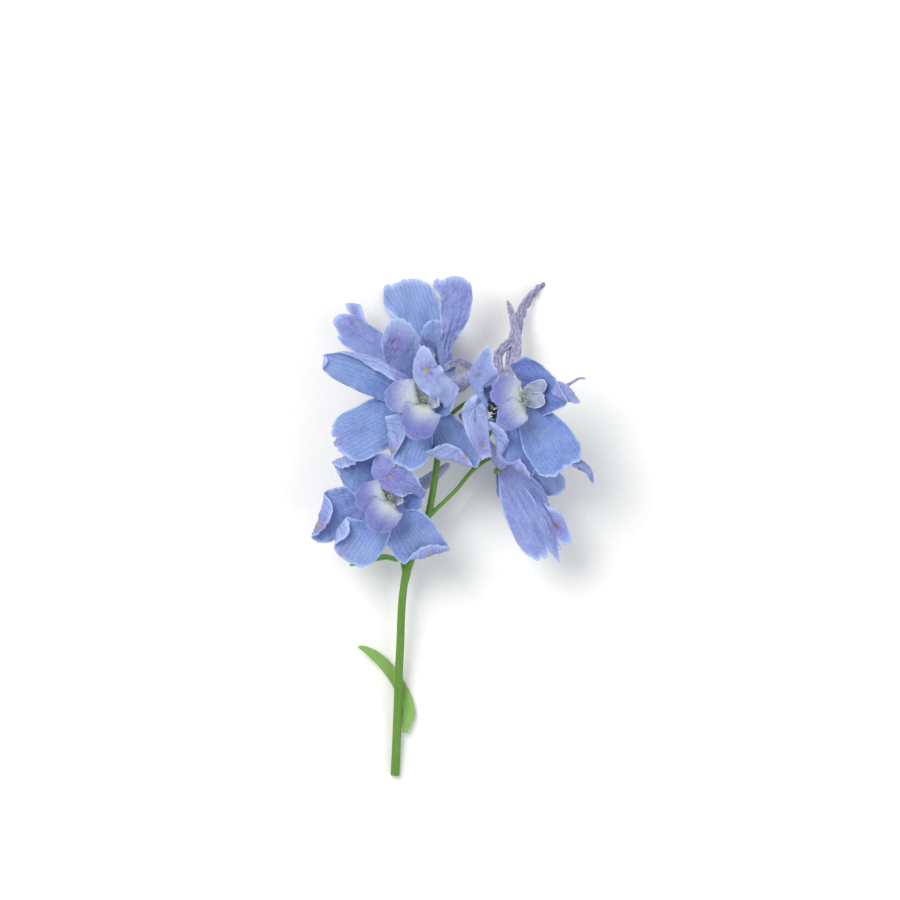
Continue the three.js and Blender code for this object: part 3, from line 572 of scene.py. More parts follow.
def grid_faces(rows: int, columns: int, offset: int = 0, flipped: bool = False) -> np.ndarray:
    """The quads of a grid of points.

    Args:
        rows: How many rows of points there are.
        columns: How many points there are in a row.
        offset: The number of the first point.
        flipped: Whether the faces look the other way.

    Returns:
        One row of four point numbers for each quad.
    """
    a = (np.arange(rows - 1)[:, None] * columns + np.arange(columns - 1)[None, :]).ravel() + offset
    quads = np.stack([a, a + 1, a + columns + 1, a + columns], axis=1)
    return quads[:, ::-1] if flipped else quads


def thicken(sheet: np.ndarray, thickness: np.ndarray, uv: np.ndarray, looks: dict[str, np.ndarray]) -> Patch:
    """Gives a sheet of points two skins and a rim. The second skin is the outer face.

    Args:
        sheet: The points, by row and column.
        thickness: The thickness at each point.
        uv: The texture place of each point.
        looks: The looks of each point.

    Returns:
        The closed patch.
    """
    rows, columns = sheet.shape[:2]
    normal = unit(np.cross(np.gradient(sheet, axis=1), np.gradient(sheet, axis=0)))
    shift = normal * thickness[..., None] / 2
    points = np.vstack([(sheet + shift).reshape(-1, 3), (sheet - shift).reshape(-1, 3)])
    skin = rows * columns
    rim = np.concatenate([
        np.arange(columns), np.arange(1, rows) * columns + columns - 1,
        (rows - 1) * columns + np.arange(columns - 2, -1, -1), np.arange(rows - 2, 0, -1) * columns,
    ])
    ahead = np.roll(rim, -1)
    faces = np.vstack([
        grid_faces(rows, columns), grid_faces(rows, columns, skin, True),
        np.stack([ahead, rim, rim + skin, ahead + skin], axis=1),
    ])
    both = {name: np.tile(values, (2, 1)) for name, values in looks.items()}
    both["tone"][skin:, 0] = 1.0
    return Patch(points, faces, np.tile(uv.reshape(-1, 2), (2, 1)), both)


def wrapped(points: np.ndarray, around: np.ndarray, along: np.ndarray, looks: dict[str, np.ndarray],
            material: int) -> Patch:
    """A closed round patch of rings of points.

    Args:
        points: The points, by ring and place round it.
        around: The share of a turn of each point.
        along: The share of the length of each point.
        looks: The looks of each point.
        material: The number of the patch's material.

    Returns:
        The closed patch.
    """
    uv = np.stack(np.broadcast_arrays(around, along), axis=-1).reshape(-1, 2)
    return Patch(points.reshape(-1, 3), grid_faces(*points.shape[:2], flipped=True), uv, looks, material)


# ---------------------------------------------------------------- blades
@dataclass
class BladeMaker:
    """Turns a blade's description into a fine closed patch. The last fields are sizes that blades share."""

    blade: Blade
    seed: int
    rows: int = 56
    columns: int = 44

    thickness: float = 0.34
    thinning: float = 0.45
    end_fray: float = 0.012
    side_fray: float = 0.018
    notch_width: float = 0.18
    fine_ruffle: float = 0.22
    fine_waves: float = 4.1
    rib_height: float = 0.05
    ribs: int = 12
    dent: float = 0.55
    dent_radius: float = 0.9
    halo_radius: float = 2.8
    brown_radius: float = 1.3
    most_blush: float = 0.8
    mouth: float = 1.2

    def patch(self, origin: np.ndarray) -> Patch:
        """Makes the blade.

        Args:
            origin: The heart that the blade's root is counted from.

        Returns:
            The closed patch.
        """
        b = self.blade
        curve = SpaceCurve(b.spine) if b.spine else None
        if curve:
            b = replace(b, length=curve.length)
        u, v, x, y = self._outline(b)
        raised = self._relief(b, u, v, x, y)
        sheet = (self._follow(b, curve, raised) if curve else self._stand(b, raised)) + origin
        margin = np.maximum(np.abs(v), u) ** 9
        thickness = self.thickness * (1 - self.thinning * margin)
        return thicken(sheet, thickness, self._uv(b, u, v, x, y), self._looks(b, u, x, y, margin))

    def _outline(self, b: Blade) -> tuple[np.ndarray, ...]:
        """Spreads the grid over the flat blade.

        Args:
            b: The blade.

        Returns:
            Shares along and across, and flat places across and along.
        """
        u = np.linspace(0, 1, self.rows + 1)[:, None] * np.ones(self.columns + 1)
        v = np.sin(np.linspace(-math.pi / 2, math.pi / 2, self.columns + 1))[None, :] * np.ones_like(u)
        end = b.corner + (1 - b.corner) * np.maximum(1 - v * v, 0) ** b.point
        end = end - b.notch * bell(v, 0, self.notch_width)
        for place, amount, spread in b.lobes:
            end = end + amount * bell(v, place, spread)
        fray = np.clip(u * 1.2 - 0.2, 0, 1)
        end = end + self.end_fray * fray * ripple(v * 4, v * 0 + self.seed, self.seed + 5, 0.9)
        y = b.length * u * end
        growth = np.sin(math.pi / 2 * np.clip((u - b.neck) / (b.widest - b.neck), 0, 1))
        past = np.maximum(0, (u - b.widest) / (1 - b.widest))
        half = b.width / 2 * (b.foot + (1 - b.foot) * growth) * (1 - b.pinch * past * past)
        for side, place, amount, spread in b.sides:
            half = half * (1 + amount * bell(u, place, spread) * np.clip(side * v, 0, 1))
        half = half * (1 + self.side_fray * fray * ripple(u * 9, np.sign(v), self.seed + 9, 1.1))
        x = v * half * (1 + b.lop * v) + b.sweep * y * y / b.length
        return u, v, x, y

    def _relief(self, b: Blade, u: np.ndarray, v: np.ndarray, x: np.ndarray, y: np.ndarray) -> np.ndarray:
        """Raises the flat blade: ruffled margins, ribs, crumples, ridges, the gland's dent and folds.

        Args:
            b: The blade.
            u: Shares along.
            v: Shares across.
            x: Flat places across.
            y: Flat places along.

        Returns:
            The points in the blade's own frame.
        """
        rim = np.maximum(np.abs(v), u)
        edge = rim ** 4
        around = np.arctan2(x, y - b.length / 2)
        z = b.ruffle * edge * np.sin(b.waves * around + math.radians(b.phase))
        fine = self.fine_ruffle * min(b.ruffle, 0.6) * edge ** 2
        z = z + fine * np.sin(self.fine_waves * b.waves * around + self.seed)
        z = z + self.rib_height * np.cos(math.pi * self.ribs * v) * smooth(0.05, 0.3, u) * (1 - edge)
        crumples = ripple(x, y * 0.5, self.seed, 4.2) + 0.3 * ripple(x, y, self.seed + 2, 1.7)
        z = z + b.crumple * crumples * smooth(0.0, 0.3, u)
        for place, height, spread in b.ridges:
            z = z + height * bell(v, place, spread) * smooth(0.1, 0.35, u) * smooth(1.02, 0.7, u)
        dent = self.dent * b.gland * (1 if b.roll else -1)
        z = z + dent * bell(self._from_gland(b, x, y), 0, self.dent_radius) * min(1.0, b.crumple / 0.3)
        z = z + b.rim * rim ** 14
        points = np.stack([x, y, z], axis=-1)
        for crease in reversed(b.creases):
            points = self._bend(points, x, y, crease)
        return points

    @staticmethod
    def _bend(points: np.ndarray, x: np.ndarray, y: np.ndarray, crease: Crease) -> np.ndarray:
        """Folds what lies beyond a crease towards the inner face.

        Args:
            points: The points so far.
            x: Flat places across.
            y: Flat places along.
            crease: The crease.

        Returns:
            The folded points.
        """
        tilt = math.radians(crease.tilt)
        normal = np.array([-math.sin(tilt), math.cos(tilt)])

        def past_line(px: np.ndarray, py: np.ndarray) -> np.ndarray:
            """How far places are past the crease."""
            run = px * normal[1] - (py - crease.at) * normal[0]
            return px * normal[0] + (py - crease.at) * normal[1] + crease.bow * (run - crease.apex) ** 2

        beyond = past_line(x, y)
        side = math.copysign(1.0, crease.turn)
        angle = np.clip(beyond / crease.radius, 0, math.radians(abs(crease.turn)))
        a = past_line(points[..., 0], points[..., 1])
        h = points[..., 2] * side
        past = a - crease.radius * angle
        moved = crease.radius * np.sin(angle) + past * np.cos(angle) - h * np.sin(angle)
        raised = crease.radius * (1 - np.cos(angle)) + past * np.sin(angle) + h * np.cos(angle)
        folded = points.copy()
        folded[..., 0] += (moved - a) * normal[0]
        folded[..., 1] += (moved - a) * normal[1]
        folded[..., 2] = raised * side
        return np.where((beyond > 0)[..., None], folded, points)

    @staticmethod
    def _stand(b: Blade, points: np.ndarray) -> np.ndarray:
        """Turns a blade from its own frame to its heading, rise and roll.

        Args:
            b: The blade.
            points: The points in the blade's frame.

        Returns:
            The points round the heart.
        """
        rise, roll = math.radians(b.rise), math.radians(b.roll)
        x = points[..., 0] * math.cos(roll) + points[..., 2] * math.sin(roll)
        z = points[..., 2] * math.cos(roll) - points[..., 0] * math.sin(roll)
        y = points[..., 1] * math.cos(rise) - z * math.sin(rise)
        z = points[..., 1] * math.sin(rise) + z * math.cos(rise)
        along = compass(b.heading)
        across = compass(b.heading - 90)
        out = x[..., None] * across + y[..., None] * along + z[..., None] * UP
        return out + np.array(b.root) + (b.start or 0.0) * along

    @staticmethod
    def _follow(b: Blade, curve: SpaceCurve, points: np.ndarray) -> np.ndarray:
        """Carries a flat blade onto a curve.

        Args:
            b: The blade.
            curve: The route of its midrib.
            points: The points in the blade's frame.

        Returns:
            The points round the heart.
        """
        share = np.clip(points[..., 1] / curve.length, 0, 1)
        tangent = curve.tangent(share)
        across = unit(np.cross(tangent, UP))
        across = rotation(tangent, math.radians(b.roll) * np.ones(share.shape), across)
        up = np.cross(across, tangent)
        return curve.at(share) + across * points[..., :1] + up * points[..., 2:]

    def _uv(self, b: Blade, u: np.ndarray, v: np.ndarray, x: np.ndarray, y: np.ndarray) -> np.ndarray:
        """The texture place of each point: across and along, or round the mouth of a clawed petal.

        Args:
            b: The blade.
            u: Shares along.
            v: Shares across.
            x: Flat places across.
            y: Flat places along.

        Returns:
            The UV of each point.
        """
        if not b.claw:
            return np.stack([v / 2 + 0.5, u], axis=-1)
        beyond = y - b.claw + self.mouth
        angle = np.arctan2(x, np.maximum(beyond, 0.05))
        radius = np.hypot(x, np.maximum(beyond, 0)) / (b.length - b.claw)
        return np.stack([angle / math.pi + 0.5, radius], axis=-1)

    def _looks(self, b: Blade, u: np.ndarray, x: np.ndarray, y: np.ndarray,
               margin: np.ndarray) -> dict[str, np.ndarray]:
        """The looks of each point. Brown shows near the gland, as a blush stronger than any other.

        Args:
            b: The blade.
            u: Shares along.
            x: Flat places across.
            y: Flat places along.
            margin: How near the margin each point is.

        Returns:
            The looks by attribute name.
        """
        away = self._from_gland(b, x, y)
        age = b.age * (0.75 + 0.25 * ripple(x, y, self.seed + 3, 3.0))
        halo = b.halo * b.gland * bell(away, 0, self.halo_radius)
        halo = halo * (1 + 0.4 * ripple(x, y, self.seed + 4, 1.6))
        blush = b.blush * (0.6 + 0.4 * ripple(x, y, self.seed + 6, 4.0)) + 0.5 * smooth(0.3, 0.0, u)
        worn = 2 * b.brown * bell(away, 0, self.brown_radius)
        # Painted shade: darker towards the foot, where the blades meet in shade, plus the blade's own amount.
        dark = b.dark * smooth(1.0, 0.55, u) + 0.25 * smooth(0.4, 0.0, u) + b.shade
        # Painted light: lighter towards the tip, and over the whole blade where the overall amount is below
        # 0.
        pale = b.pale * smooth(0.35, 0.95, u + 0.12 * ripple(x, y, self.seed + 8, 3.5)) - b.shade
        return looks_of(
            u.shape, age=np.clip(age, 0, 1), halo=np.clip(halo, 0, 1), margin=margin,
            gland=b.gland * bell(away, 0, b.gland_size), chance=np.random.default_rng(self.seed).uniform(),
            blush=np.clip(np.maximum(np.minimum(blush, self.most_blush), worn), 0, 1),
            dark=np.clip(dark, 0, 1), pale=np.clip(pale, 0, 1))

    @staticmethod
    def _from_gland(b: Blade, x: np.ndarray, y: np.ndarray) -> np.ndarray:
        """How far flat places are from the blade's gland, in millimetres."""
        return np.hypot(x - b.gland_at[1] * b.width / 2, y - b.gland_at[0] * b.length)


def tube(path: tuple[Vec, ...], radii: tuple[float, ...], seed: int, age: float = 0.0, wrinkle: float = 0.0,
         sides: int = 20, steps: int = 44) -> Patch:
    """A closed round tube with a rounded end, wrinkled along its length.

    Args:
        path: The points that it runs through.
        radii: Radii at evenly spaced places.
        seed: Picks the wrinkles.
        age: How dry it looks.
        wrinkle: How deep the wrinkles are, as a share of the radius.
        sides: How many points there are round it.
        steps: How many rings there are along it.

    Returns:
        The closed patch.
    """
    curve = SpaceCurve(path)
    t = np.linspace(0, 1, steps + 1)
    ends = np.sqrt(np.clip(1 - (2 * t - 1) ** 18, 0, 1))
    radius = spaced(t, radii) * np.maximum(ends, 0.02)
    tangent = curve.tangent(t)
    side = unit(np.cross(tangent, UP + 0.01))
    lift = np.cross(side, tangent)
    angle = np.linspace(0, 2 * math.pi, sides + 1)
    folds = ripple(np.cos(angle) * 1.6, t[:, None] * 5 + np.sin(angle) * 1.6, seed, 1.2)
    ring = np.cos(angle)[None, :, None] * side[:, None] + np.sin(angle)[None, :, None] * lift[:, None]
    points = curve.at(t)[:, None] + ring * (radius[:, None] * (1 + wrinkle * folds))[..., None]
    points[:, -1] = points[:, 0]
    looks = looks_of(points.shape[:2], outer=1.0, age=age, chance=TUBE_CHANCE)
    return wrapped(points, angle[None, :] / (2 * math.pi), t[:, None], looks, 0)


def ball(centre: np.ndarray, axis: np.ndarray, radius: float, height: float, material: int = 0,
         lobes: int = 5, lobe_height: float = 0.05, sides: int = 28, steps: int = 16) -> Patch:
    """A flattened ball with soft lobes.

    Args:
        centre: Its middle.
        axis: The unit vector along which it is flattened.
        radius: Its radius across the axis.
        height: Its radius along the axis.
        material: The number of the patch's material.
        lobes: How many lobes there are.
        lobe_height: How high they are, as a share of the radius.
        sides: How many points there are round it.
        steps: How many rings there are along the axis.

    Returns:
        The closed patch.
    """
    down = np.linspace(0, math.pi, steps + 1)[:, None]
    angle = np.linspace(0, 2 * math.pi, sides + 1)[None, :]
    side = unit(np.cross(axis, np.array([0.31, 0.77, 0.55])))
    other = np.cross(axis, side)
    reach = radius * (1 + lobe_height * np.cos(lobes * angle) * np.sin(down)) * np.sin(down)
    points = (centre + (reach * np.cos(angle))[..., None] * side + (reach * np.sin(angle))[..., None] * other
              + (height * np.cos(down) * np.ones_like(angle))[..., None] * axis)
    return wrapped(points, angle / (2 * math.pi), down / math.pi, looks_of(points.shape[:2]), material)


def ribbon(strap: Strap, seed: int, origin: np.ndarray, thickness: float = 0.36, age: float = 1.0,
           channel: float = 0.0, rows: int = 70, columns: int = 14) -> Patch:
    """A ribbon along a route.

    Args:
        strap: Its description.
        seed: Picks its crumples.
        origin: What its route is counted from.
        thickness: Its thickness.
        age: How dry it looks.
        channel: How deep its middle is sunk.
        rows: How many rows of quads there are.
        columns: How many quads there are in a row.

    Returns:
        The closed patch.
    """
    curve = SpaceCurve(strap.path)
    t = np.linspace(0, 1, rows + 1)
    tip = np.clip((t - 0.93) / 0.075, 0, 1)
    width = spaced(t, strap.widths) * np.sqrt(np.clip(1 - tip ** 2, 0.02, 1))
    tangent = curve.tangent(t)
    across = unit(np.cross(tangent, UP))
    across = rotation(tangent, np.radians(strap.roll + strap.twist * t), across)
    up = np.cross(across, tangent)
    v = np.linspace(-1, 1, columns + 1)
    x = width[:, None] / 2 * v[None, :]
    crumples = ripple(x * 1.4, t[:, None] * curve.length * 0.5, seed, 1.3)
    z = strap.crumple * crumples * smooth(0, 0.1, t)[:, None]
    z = z + 0.25 * strap.crumple * np.sin(strap.waves * WHOLE_WAVE * t)[:, None] * np.abs(v) ** 2
    z = z + channel * (np.abs(v) ** 1.5 - 0.5)[None, :] * width[:, None] / width.max()
    sheet = origin + curve.at(t)[:, None] + across[:, None] * x[..., None] + up[:, None] * z[..., None]
    uv = np.stack(np.broadcast_arrays(v[None, :] / 2 + 0.5, t[:, None]), axis=-1)
    margin = np.broadcast_to(np.abs(v)[None, :] ** 6, x.shape)
    looks = looks_of(x.shape, age=age, margin=margin, chance=0.1 * (seed % 10))
    return thicken(sheet, thickness * (1 - 0.4 * margin), uv, looks)


# ---------------------------------------------------------------- node trees
FLOAT = "NodeSocketFloat"
VECTOR = "NodeSocketVector"
INTEGER = "NodeSocketInt"
MATERIAL = "NodeSocketMaterial"
GEOMETRY = "NodeSocketGeometry"

Socket = bpy.types.NodeSocket
Inputs = dict[str, tuple[str, object]]


def hex_colour(text: str) -> tuple[float, float, float, float]:
    """Turns a web colour into linear light.

    Args:
        text: Six hexadecimal digits.

    Returns:
        Red, green, blue and alpha.
    """
    parts = [int(text[k:k + 2], 16) / 255 for k in (0, 2, 4)]
    linear = [c / 12.92 if c <= 0.04045 else ((c + 0.055) / 1.055) ** 2.4 for c in parts]
    return (*linear, 1.0)


class Graph:
    """Adds nodes to a tree and links them as it goes."""

    def __init__(self, tree: bpy.types.NodeTree) -> None:
        """Keeps the tree to add to."""
        self.tree = tree

    def add(self, kind: str, inputs: dict | None = None, **settings: object) -> bpy.types.Node:
        """Adds a node.

        Args:
            kind: The node's type name.
            inputs: Sockets or plain values by the name or number of the input.
            settings: The node's own properties.

        Returns:
            The node.
        """
        node = self.tree.nodes.new(kind)
        for key, value in settings.items():
            setattr(node, key, value)
        for key, value in (inputs or {}).items():
            if isinstance(value, Socket):
                self.tree.links.new(value, node.inputs[key])
            else:
                node.inputs[key].default_value = value
        return node

    def math(self, operation: str, *values: Socket | float) -> Socket:
        """The result of a Math node."""
        return self.add("ShaderNodeMath", dict(enumerate(values)), operation=operation).outputs[0]

    def plus(self, a: Socket | float, b: Socket | float) -> Socket:
        """The sum of two numbers."""
        return self.math("ADD", a, b)

    def times(self, a: Socket | float, b: Socket | float) -> Socket:
        """The product of two numbers."""
        return self.math("MULTIPLY", a, b)

    def split(self, vector: Socket) -> bpy.types.NodeOutputs:
        """The three parts of a vector."""
        return self.add("ShaderNodeSeparateXYZ", {0: vector}).outputs

    def ease(self, value: Socket, low: float, high: float, to_low: float = 0.0,
             to_high: float = 1.0) -> Socket:
        """Maps one range to another, smoothly.

        Args:
            value: The number.
            low: The start of its range.
            high: The end of its range.
            to_low: What the start becomes.
            to_high: What the end becomes.

        Returns:
            The mapped number.
        """
        ranges = {0: value, 1: low, 2: high, 3: to_low, 4: to_high}
        return self.add("ShaderNodeMapRange", ranges, interpolation_type="SMOOTHSTEP").outputs[0]

    def mix(self, share: Socket, a: object, b: object) -> Socket:
        """Mixes two colours, by the share of the second. A colour may be a socket or a web colour."""
        a, b = (hex_colour(c) if isinstance(c, str) else c for c in (a, b))
        return self.add("ShaderNodeMix", {0: share, 6: a, 7: b}, data_type="RGBA").outputs[2]

    def layered(self, colour: Socket, *layers: tuple[Socket, object]) -> Socket:
        """Lays colours over one another.

        Args:
            colour: The lowest colour.
            layers: The share of each further colour, and the colour.

        Returns:
            The colour that is seen.
        """
        for share, over in layers:
            colour = self.mix(share, colour, over)
        return colour

    def looks(self) -> dict[str, Socket]:
        """The looks of the surface by their names.

        Returns:
            One number for each share.
        """
        found = {}
        for name, keys in LOOKS.items():
            colour = self.add("ShaderNodeAttribute", attribute_name=name).outputs[0]
            found.update(zip(keys, self.add("ShaderNodeSeparateColor", {0: colour}).outputs))
        return found


class NamedTree:
    """A node tree with named inputs and outputs."""

    def __init__(self, name: str, kind: str, inputs: Inputs, outputs: dict[str, str]) -> None:
        """Makes the tree and its sockets.

        Args:
            name: The tree's name.
            kind: The tree's type.
            inputs: Socket type and default by name.
            outputs: Socket type by name.
        """
        self.tree = bpy.data.node_groups.new(name, kind)
        for key, (socket_type, default) in inputs.items():
            socket = self.tree.interface.new_socket(key, in_out="INPUT", socket_type=socket_type)
            if default is not None:
                socket.default_value = default
        for key, socket_type in outputs.items():
            self.tree.interface.new_socket(key, in_out="OUTPUT", socket_type=socket_type)
        self.graph = Graph(self.tree)
        self.source = self.tree.nodes.new("NodeGroupInput").outputs
        self.sink = self.tree.nodes.new("NodeGroupOutput").inputs


class MaskGroup(NamedTree):
    """A shared shader node group that puts out one mask."""

    def __init__(self, name: str, inputs: Inputs) -> None:
        """Makes a group with a place and further inputs, given by socket type and default."""
        super().__init__(name, "ShaderNodeTree", {"Place": (VECTOR, None), **inputs}, {"Mask": FLOAT})

    def give(self, mask: Socket) -> None:
        """Sends the mask out of the group."""
        self.tree.links.new(mask, self.sink["Mask"])

    def place(self, graph: Graph, place: Socket, **inputs: Socket | float) -> Socket:
        """Puts the group into a material, and gives its mask there."""
        return graph.add("ShaderNodeGroup", {"Place": place, **inputs}, node_tree=self.tree).outputs["Mask"]


def vein_group() -> MaskGroup:
    """Veins that run from the foot of a blade and fork twice on their way to the margin.

    Returns:
        The group.
    """
    group = MaskGroup("Forking veins", {
        "Chance": (FLOAT, 0.0), "Count": (FLOAT, 8.0), "Wander": (FLOAT, 0.04)})
    g, source = group.graph, group.source
    across, along = g.split(source["Place"])[:2]
    spot = g.add("ShaderNodeCombineXYZ", {
        0: g.times(across, 3.0), 1: g.times(along, 4.0), 2: g.times(source["Chance"], 40.0)}).outputs[0]
    noise = g.add("ShaderNodeTexNoise", {"Vector": spot, "Scale": 1.3, "Detail": 2.0}).outputs[0]
    across = g.plus(across, g.times(g.math("SUBTRACT", noise, 0.5), source["Wander"]))
    total: Socket | float = 0.0
    for times, low, high, weight in ((1.0, -1.0, -0.5, 1.0), (2.0, 0.18, 0.45, 0.8), (4.0, 0.45, 0.75, 0.55)):
        wave = g.math("PINGPONG", g.times(across, g.times(source["Count"], times)), 0.5)
        line = g.ease(wave, 0.0, 0.2, weight, 0.0)
        total = g.math("MAXIMUM", total, g.times(line, g.ease(along, low, high)))
    group.give(total)
    return group


def mottle_group() -> MaskGroup:
    """Soft uneven patches.

    Returns:
        The group.
    """
    group = MaskGroup("Mottle", {"Scale": (FLOAT, 400.0), "Contrast": (FLOAT, 1.0)})
    g, source = group.graph, group.source
    noise = g.add("ShaderNodeTexNoise", {"Vector": source["Place"], "Scale": source["Scale"], "Detail": 5.0,
                                         "Roughness": 0.6}).outputs[0]
    centred = g.times(g.math("SUBTRACT", noise, 0.5), source["Contrast"])
    group.give(g.add("ShaderNodeClamp", {0: g.plus(centred, 0.5)}).outputs[0])
    return group


def speck_group() -> MaskGroup:
    """Small scattered specks.

    Returns:
        The group.
    """
    group = MaskGroup("Specks", {"Scale": (FLOAT, 300.0), "Size": (FLOAT, 0.1)})
    g, source = group.graph, group.source
    cells = g.add("ShaderNodeTexVoronoi", {
        "Vector": source["Place"], "Scale": source["Scale"], "Randomness": 1.0}).outputs
    near = g.math("LESS_THAN", cells["Distance"], source["Size"])
    chance = g.add("ShaderNodeSeparateColor", {0: cells["Color"]}).outputs[0]
    group.give(g.times(near, g.math("GREATER_THAN", chance, 0.8)))
    return group


class Markings:
    """The groups that the finishes share."""

    def __init__(self) -> None:
        """Builds the groups."""
        self.veins = vein_group()
        self.mottle = mottle_group()
        self.specks = speck_group()


# ---------------------------------------------------------------- finishes
Pair = tuple[str, str]
Painted = tuple[Socket, Socket | float, Socket]


@dataclass(frozen=True)
class Finish:
    """A grained surface that lets some light through. A pair is a darker and a lighter web colour."""

    name: str
    pair: Pair
    roughness: float
    sheen: float = 0.1
    glow: float = 0.05
    bump: float = 0.5
    bump_height: float = 0.00006
    sheen_roughness: float = 0.4
    specular: float = 0.3

    def paint(self, g: Graph, where: Socket, markings: Markings) -> Painted:
        """Paints the surface.

        Args:
            g: The material's graph.
            where: Places on the object.
            markings: The shared groups.

        Returns:
            Its colour, its roughness and its height.
        """
        grain = markings.mottle.place(g, where, Scale=3200.0, Contrast=2.4)
        return g.mix(grain, *self.pair), self.roughness, grain

    def start(self) -> tuple[bpy.types.Material, Graph, Socket]:
        """Starts the material.

        Returns:
            The material, its graph and the places on the object.
        """
        material = bpy.data.materials.new(self.name)
        material.use_nodes = True
        material.node_tree.nodes.clear()
        g = Graph(material.node_tree)
        return material, g, g.add("ShaderNodeTexCoord").outputs["Object"]

    def build(self, markings: Markings) -> bpy.types.Material:
        """Makes the material.

        Args:
            markings: The shared groups.

        Returns:
            The material.
        """
        material, g, where = self.start()
        colour, roughness, height = self.paint(g, where, markings)
        normal = g.add("ShaderNodeBump", {
            "Strength": self.bump, "Distance": self.bump_height, "Height": height}).outputs[0]
        surface = g.add("ShaderNodeBsdfPrincipled", {
            "Base Color": colour, "Roughness": roughness, "Normal": normal, "Sheen Weight": self.sheen,
            "Sheen Roughness": self.sheen_roughness, "Specular IOR Level": self.specular})
        through = g.add("ShaderNodeBsdfTranslucent", {"Color": colour, "Normal": normal})
        both = g.add("ShaderNodeMixShader", {0: self.glow, 1: surface.outputs[0], 2: through.outputs[0]})
        g.add("ShaderNodeOutputMaterial", {"Surface": both.outputs[0]})
        return material


@dataclass(frozen=True)
class GreenFinish(Finish):
    """A green part with fine lines along it."""

    glow: float = 0.06
    bump: float = 0.4
    bump_height: float = 0.0001
    line_stretch: float = 0.12

    def paint(self, g: Graph, where: Socket, markings: Markings) -> Painted:
        """Paints the lines over soft patches.

        Args:
            g: The material's graph.
            where: Places on the object.
            markings: The shared groups.

        Returns:
            Its colour, its roughness and its height.
        """
        stretch = (1.0, self.line_stretch, 1.0)
        drawn = g.add("ShaderNodeMapping", {"Vector": where, "Scale": stretch}).outputs[0]
        lines = markings.mottle.place(g, drawn, Scale=2600.0, Contrast=2.2)
        patches = markings.mottle.place(g, where, Scale=120.0, Contrast=1.6)
        colour = g.mix(g.times(g.plus(lines, patches), 0.5), *self.pair)
        return colour, g.ease(lines, 0.0, 1.0, self.roughness - 0.06, self.roughness + 0.1), lines


@dataclass(frozen=True)
class SepalFinish(Finish):
    """The blue sepals and their spurs. The pair is the inner face, and the others lie over it in turn."""

    name: str = "sepal"
    pair: Pair = ("6485C9", "90AEE6")
    roughness: float = 0.5
    sheen: float = 0.25
    glow: float = 0.22
    bump_height: float = 0.00012
    thin: str = "86A3BE"
    back: Pair = ("7F93D6", "A9BBEE")
    # The colours of the painted light and the painted shade.
    pale: str = "C6D5F8"
    dark: str = "5364B4"
    blush: Pair = ("8783C2", "B0A8DC")
    vein: str = "4C60AE"
    # A white grain, partly the surface's own grain and partly painted sheen; then the margin's painted rim
    # light.
    grain_and_sheen: str = "BCC9F0"
    margin: str = "C4D6FC"
    halo: Pair = ("6250AC", "A696DC")
    dry: Pair = ("938DB6", "D6D2E6")
    brown: str = "A893B4"
    gland: str = "A2AB5A"
    # Near-white specks: painted glints.
    painted_glint: str = "F2F5FF"

    def paint(self, g: Graph, where: Socket, markings: Markings) -> Painted:
        """Paints the blue: veins, blushes, gland, painted light, shade, rim light, sheen and glints.

        Args:
            g: The material's graph.
            where: Places on the object.
            markings: The shared groups.

        Returns:
            Its colour, its roughness and its height.
        """
        place = g.add("ShaderNodeUVMap", uv_map="blade").outputs[0]
        look = g.looks()
        veins = markings.veins.place(g, place, Chance=look["chance"], Count=13.0, Wander=0.09)
        patches = markings.mottle.place(g, where, Scale=210.0, Contrast=2.2)
        grain = markings.mottle.place(g, where, Scale=1700.0, Contrast=2.6)
        thin = markings.mottle.place(g, where, Scale=95.0, Contrast=1.8)
        specks = markings.specks.place(g, where, Scale=420.0, Size=0.07)
        # Painted sheen on the grain, stronger on the outer face.
        grain_and_sheen = g.times(grain, g.ease(look["outer"], 0.0, 1.0, 0.26, 0.44))
        brown = g.times(g.ease(look["blush"], 0.82, 1.0), g.ease(grain, 0.2, 0.7, 0.25, 0.9))
        inner = g.mix(g.ease(thin, 0.4, 0.8, 0.0, 0.5), g.mix(patches, *self.pair), self.thin)
        colour = g.layered(
            g.mix(look["outer"], inner, g.mix(patches, *self.back)),
            # Painted light and painted shade.
            (g.times(look["pale"], 0.7), self.pale),
            (g.times(look["dark"], 0.8), self.dark),
            (g.times(look["blush"], 0.6), g.mix(patches, *self.blush)),
            (g.times(veins, 0.62), self.vein),
            # Painted sheen on the grain, and painted rim light along the margin.
            (grain_and_sheen, self.grain_and_sheen),
            (g.ease(look["margin"], 0.5, 1.0, 0.0, 0.85), self.margin),
            (g.times(look["halo"], 0.7), g.mix(grain, *self.halo)),
            (g.times(look["age"], 0.9), g.mix(grain, *self.dry)),
            (brown, self.brown),
            (g.ease(look["gland"], 0.25, 0.8, 0.0, 0.9), self.gland),
            # Painted glints.
            (g.times(specks, 0.75), self.painted_glint),
        )
        height = g.plus(g.times(veins, -0.6), g.times(grain, 0.5))
        return colour, g.ease(grain, 0.0, 1.0, self.roughness, self.roughness + 0.16), height


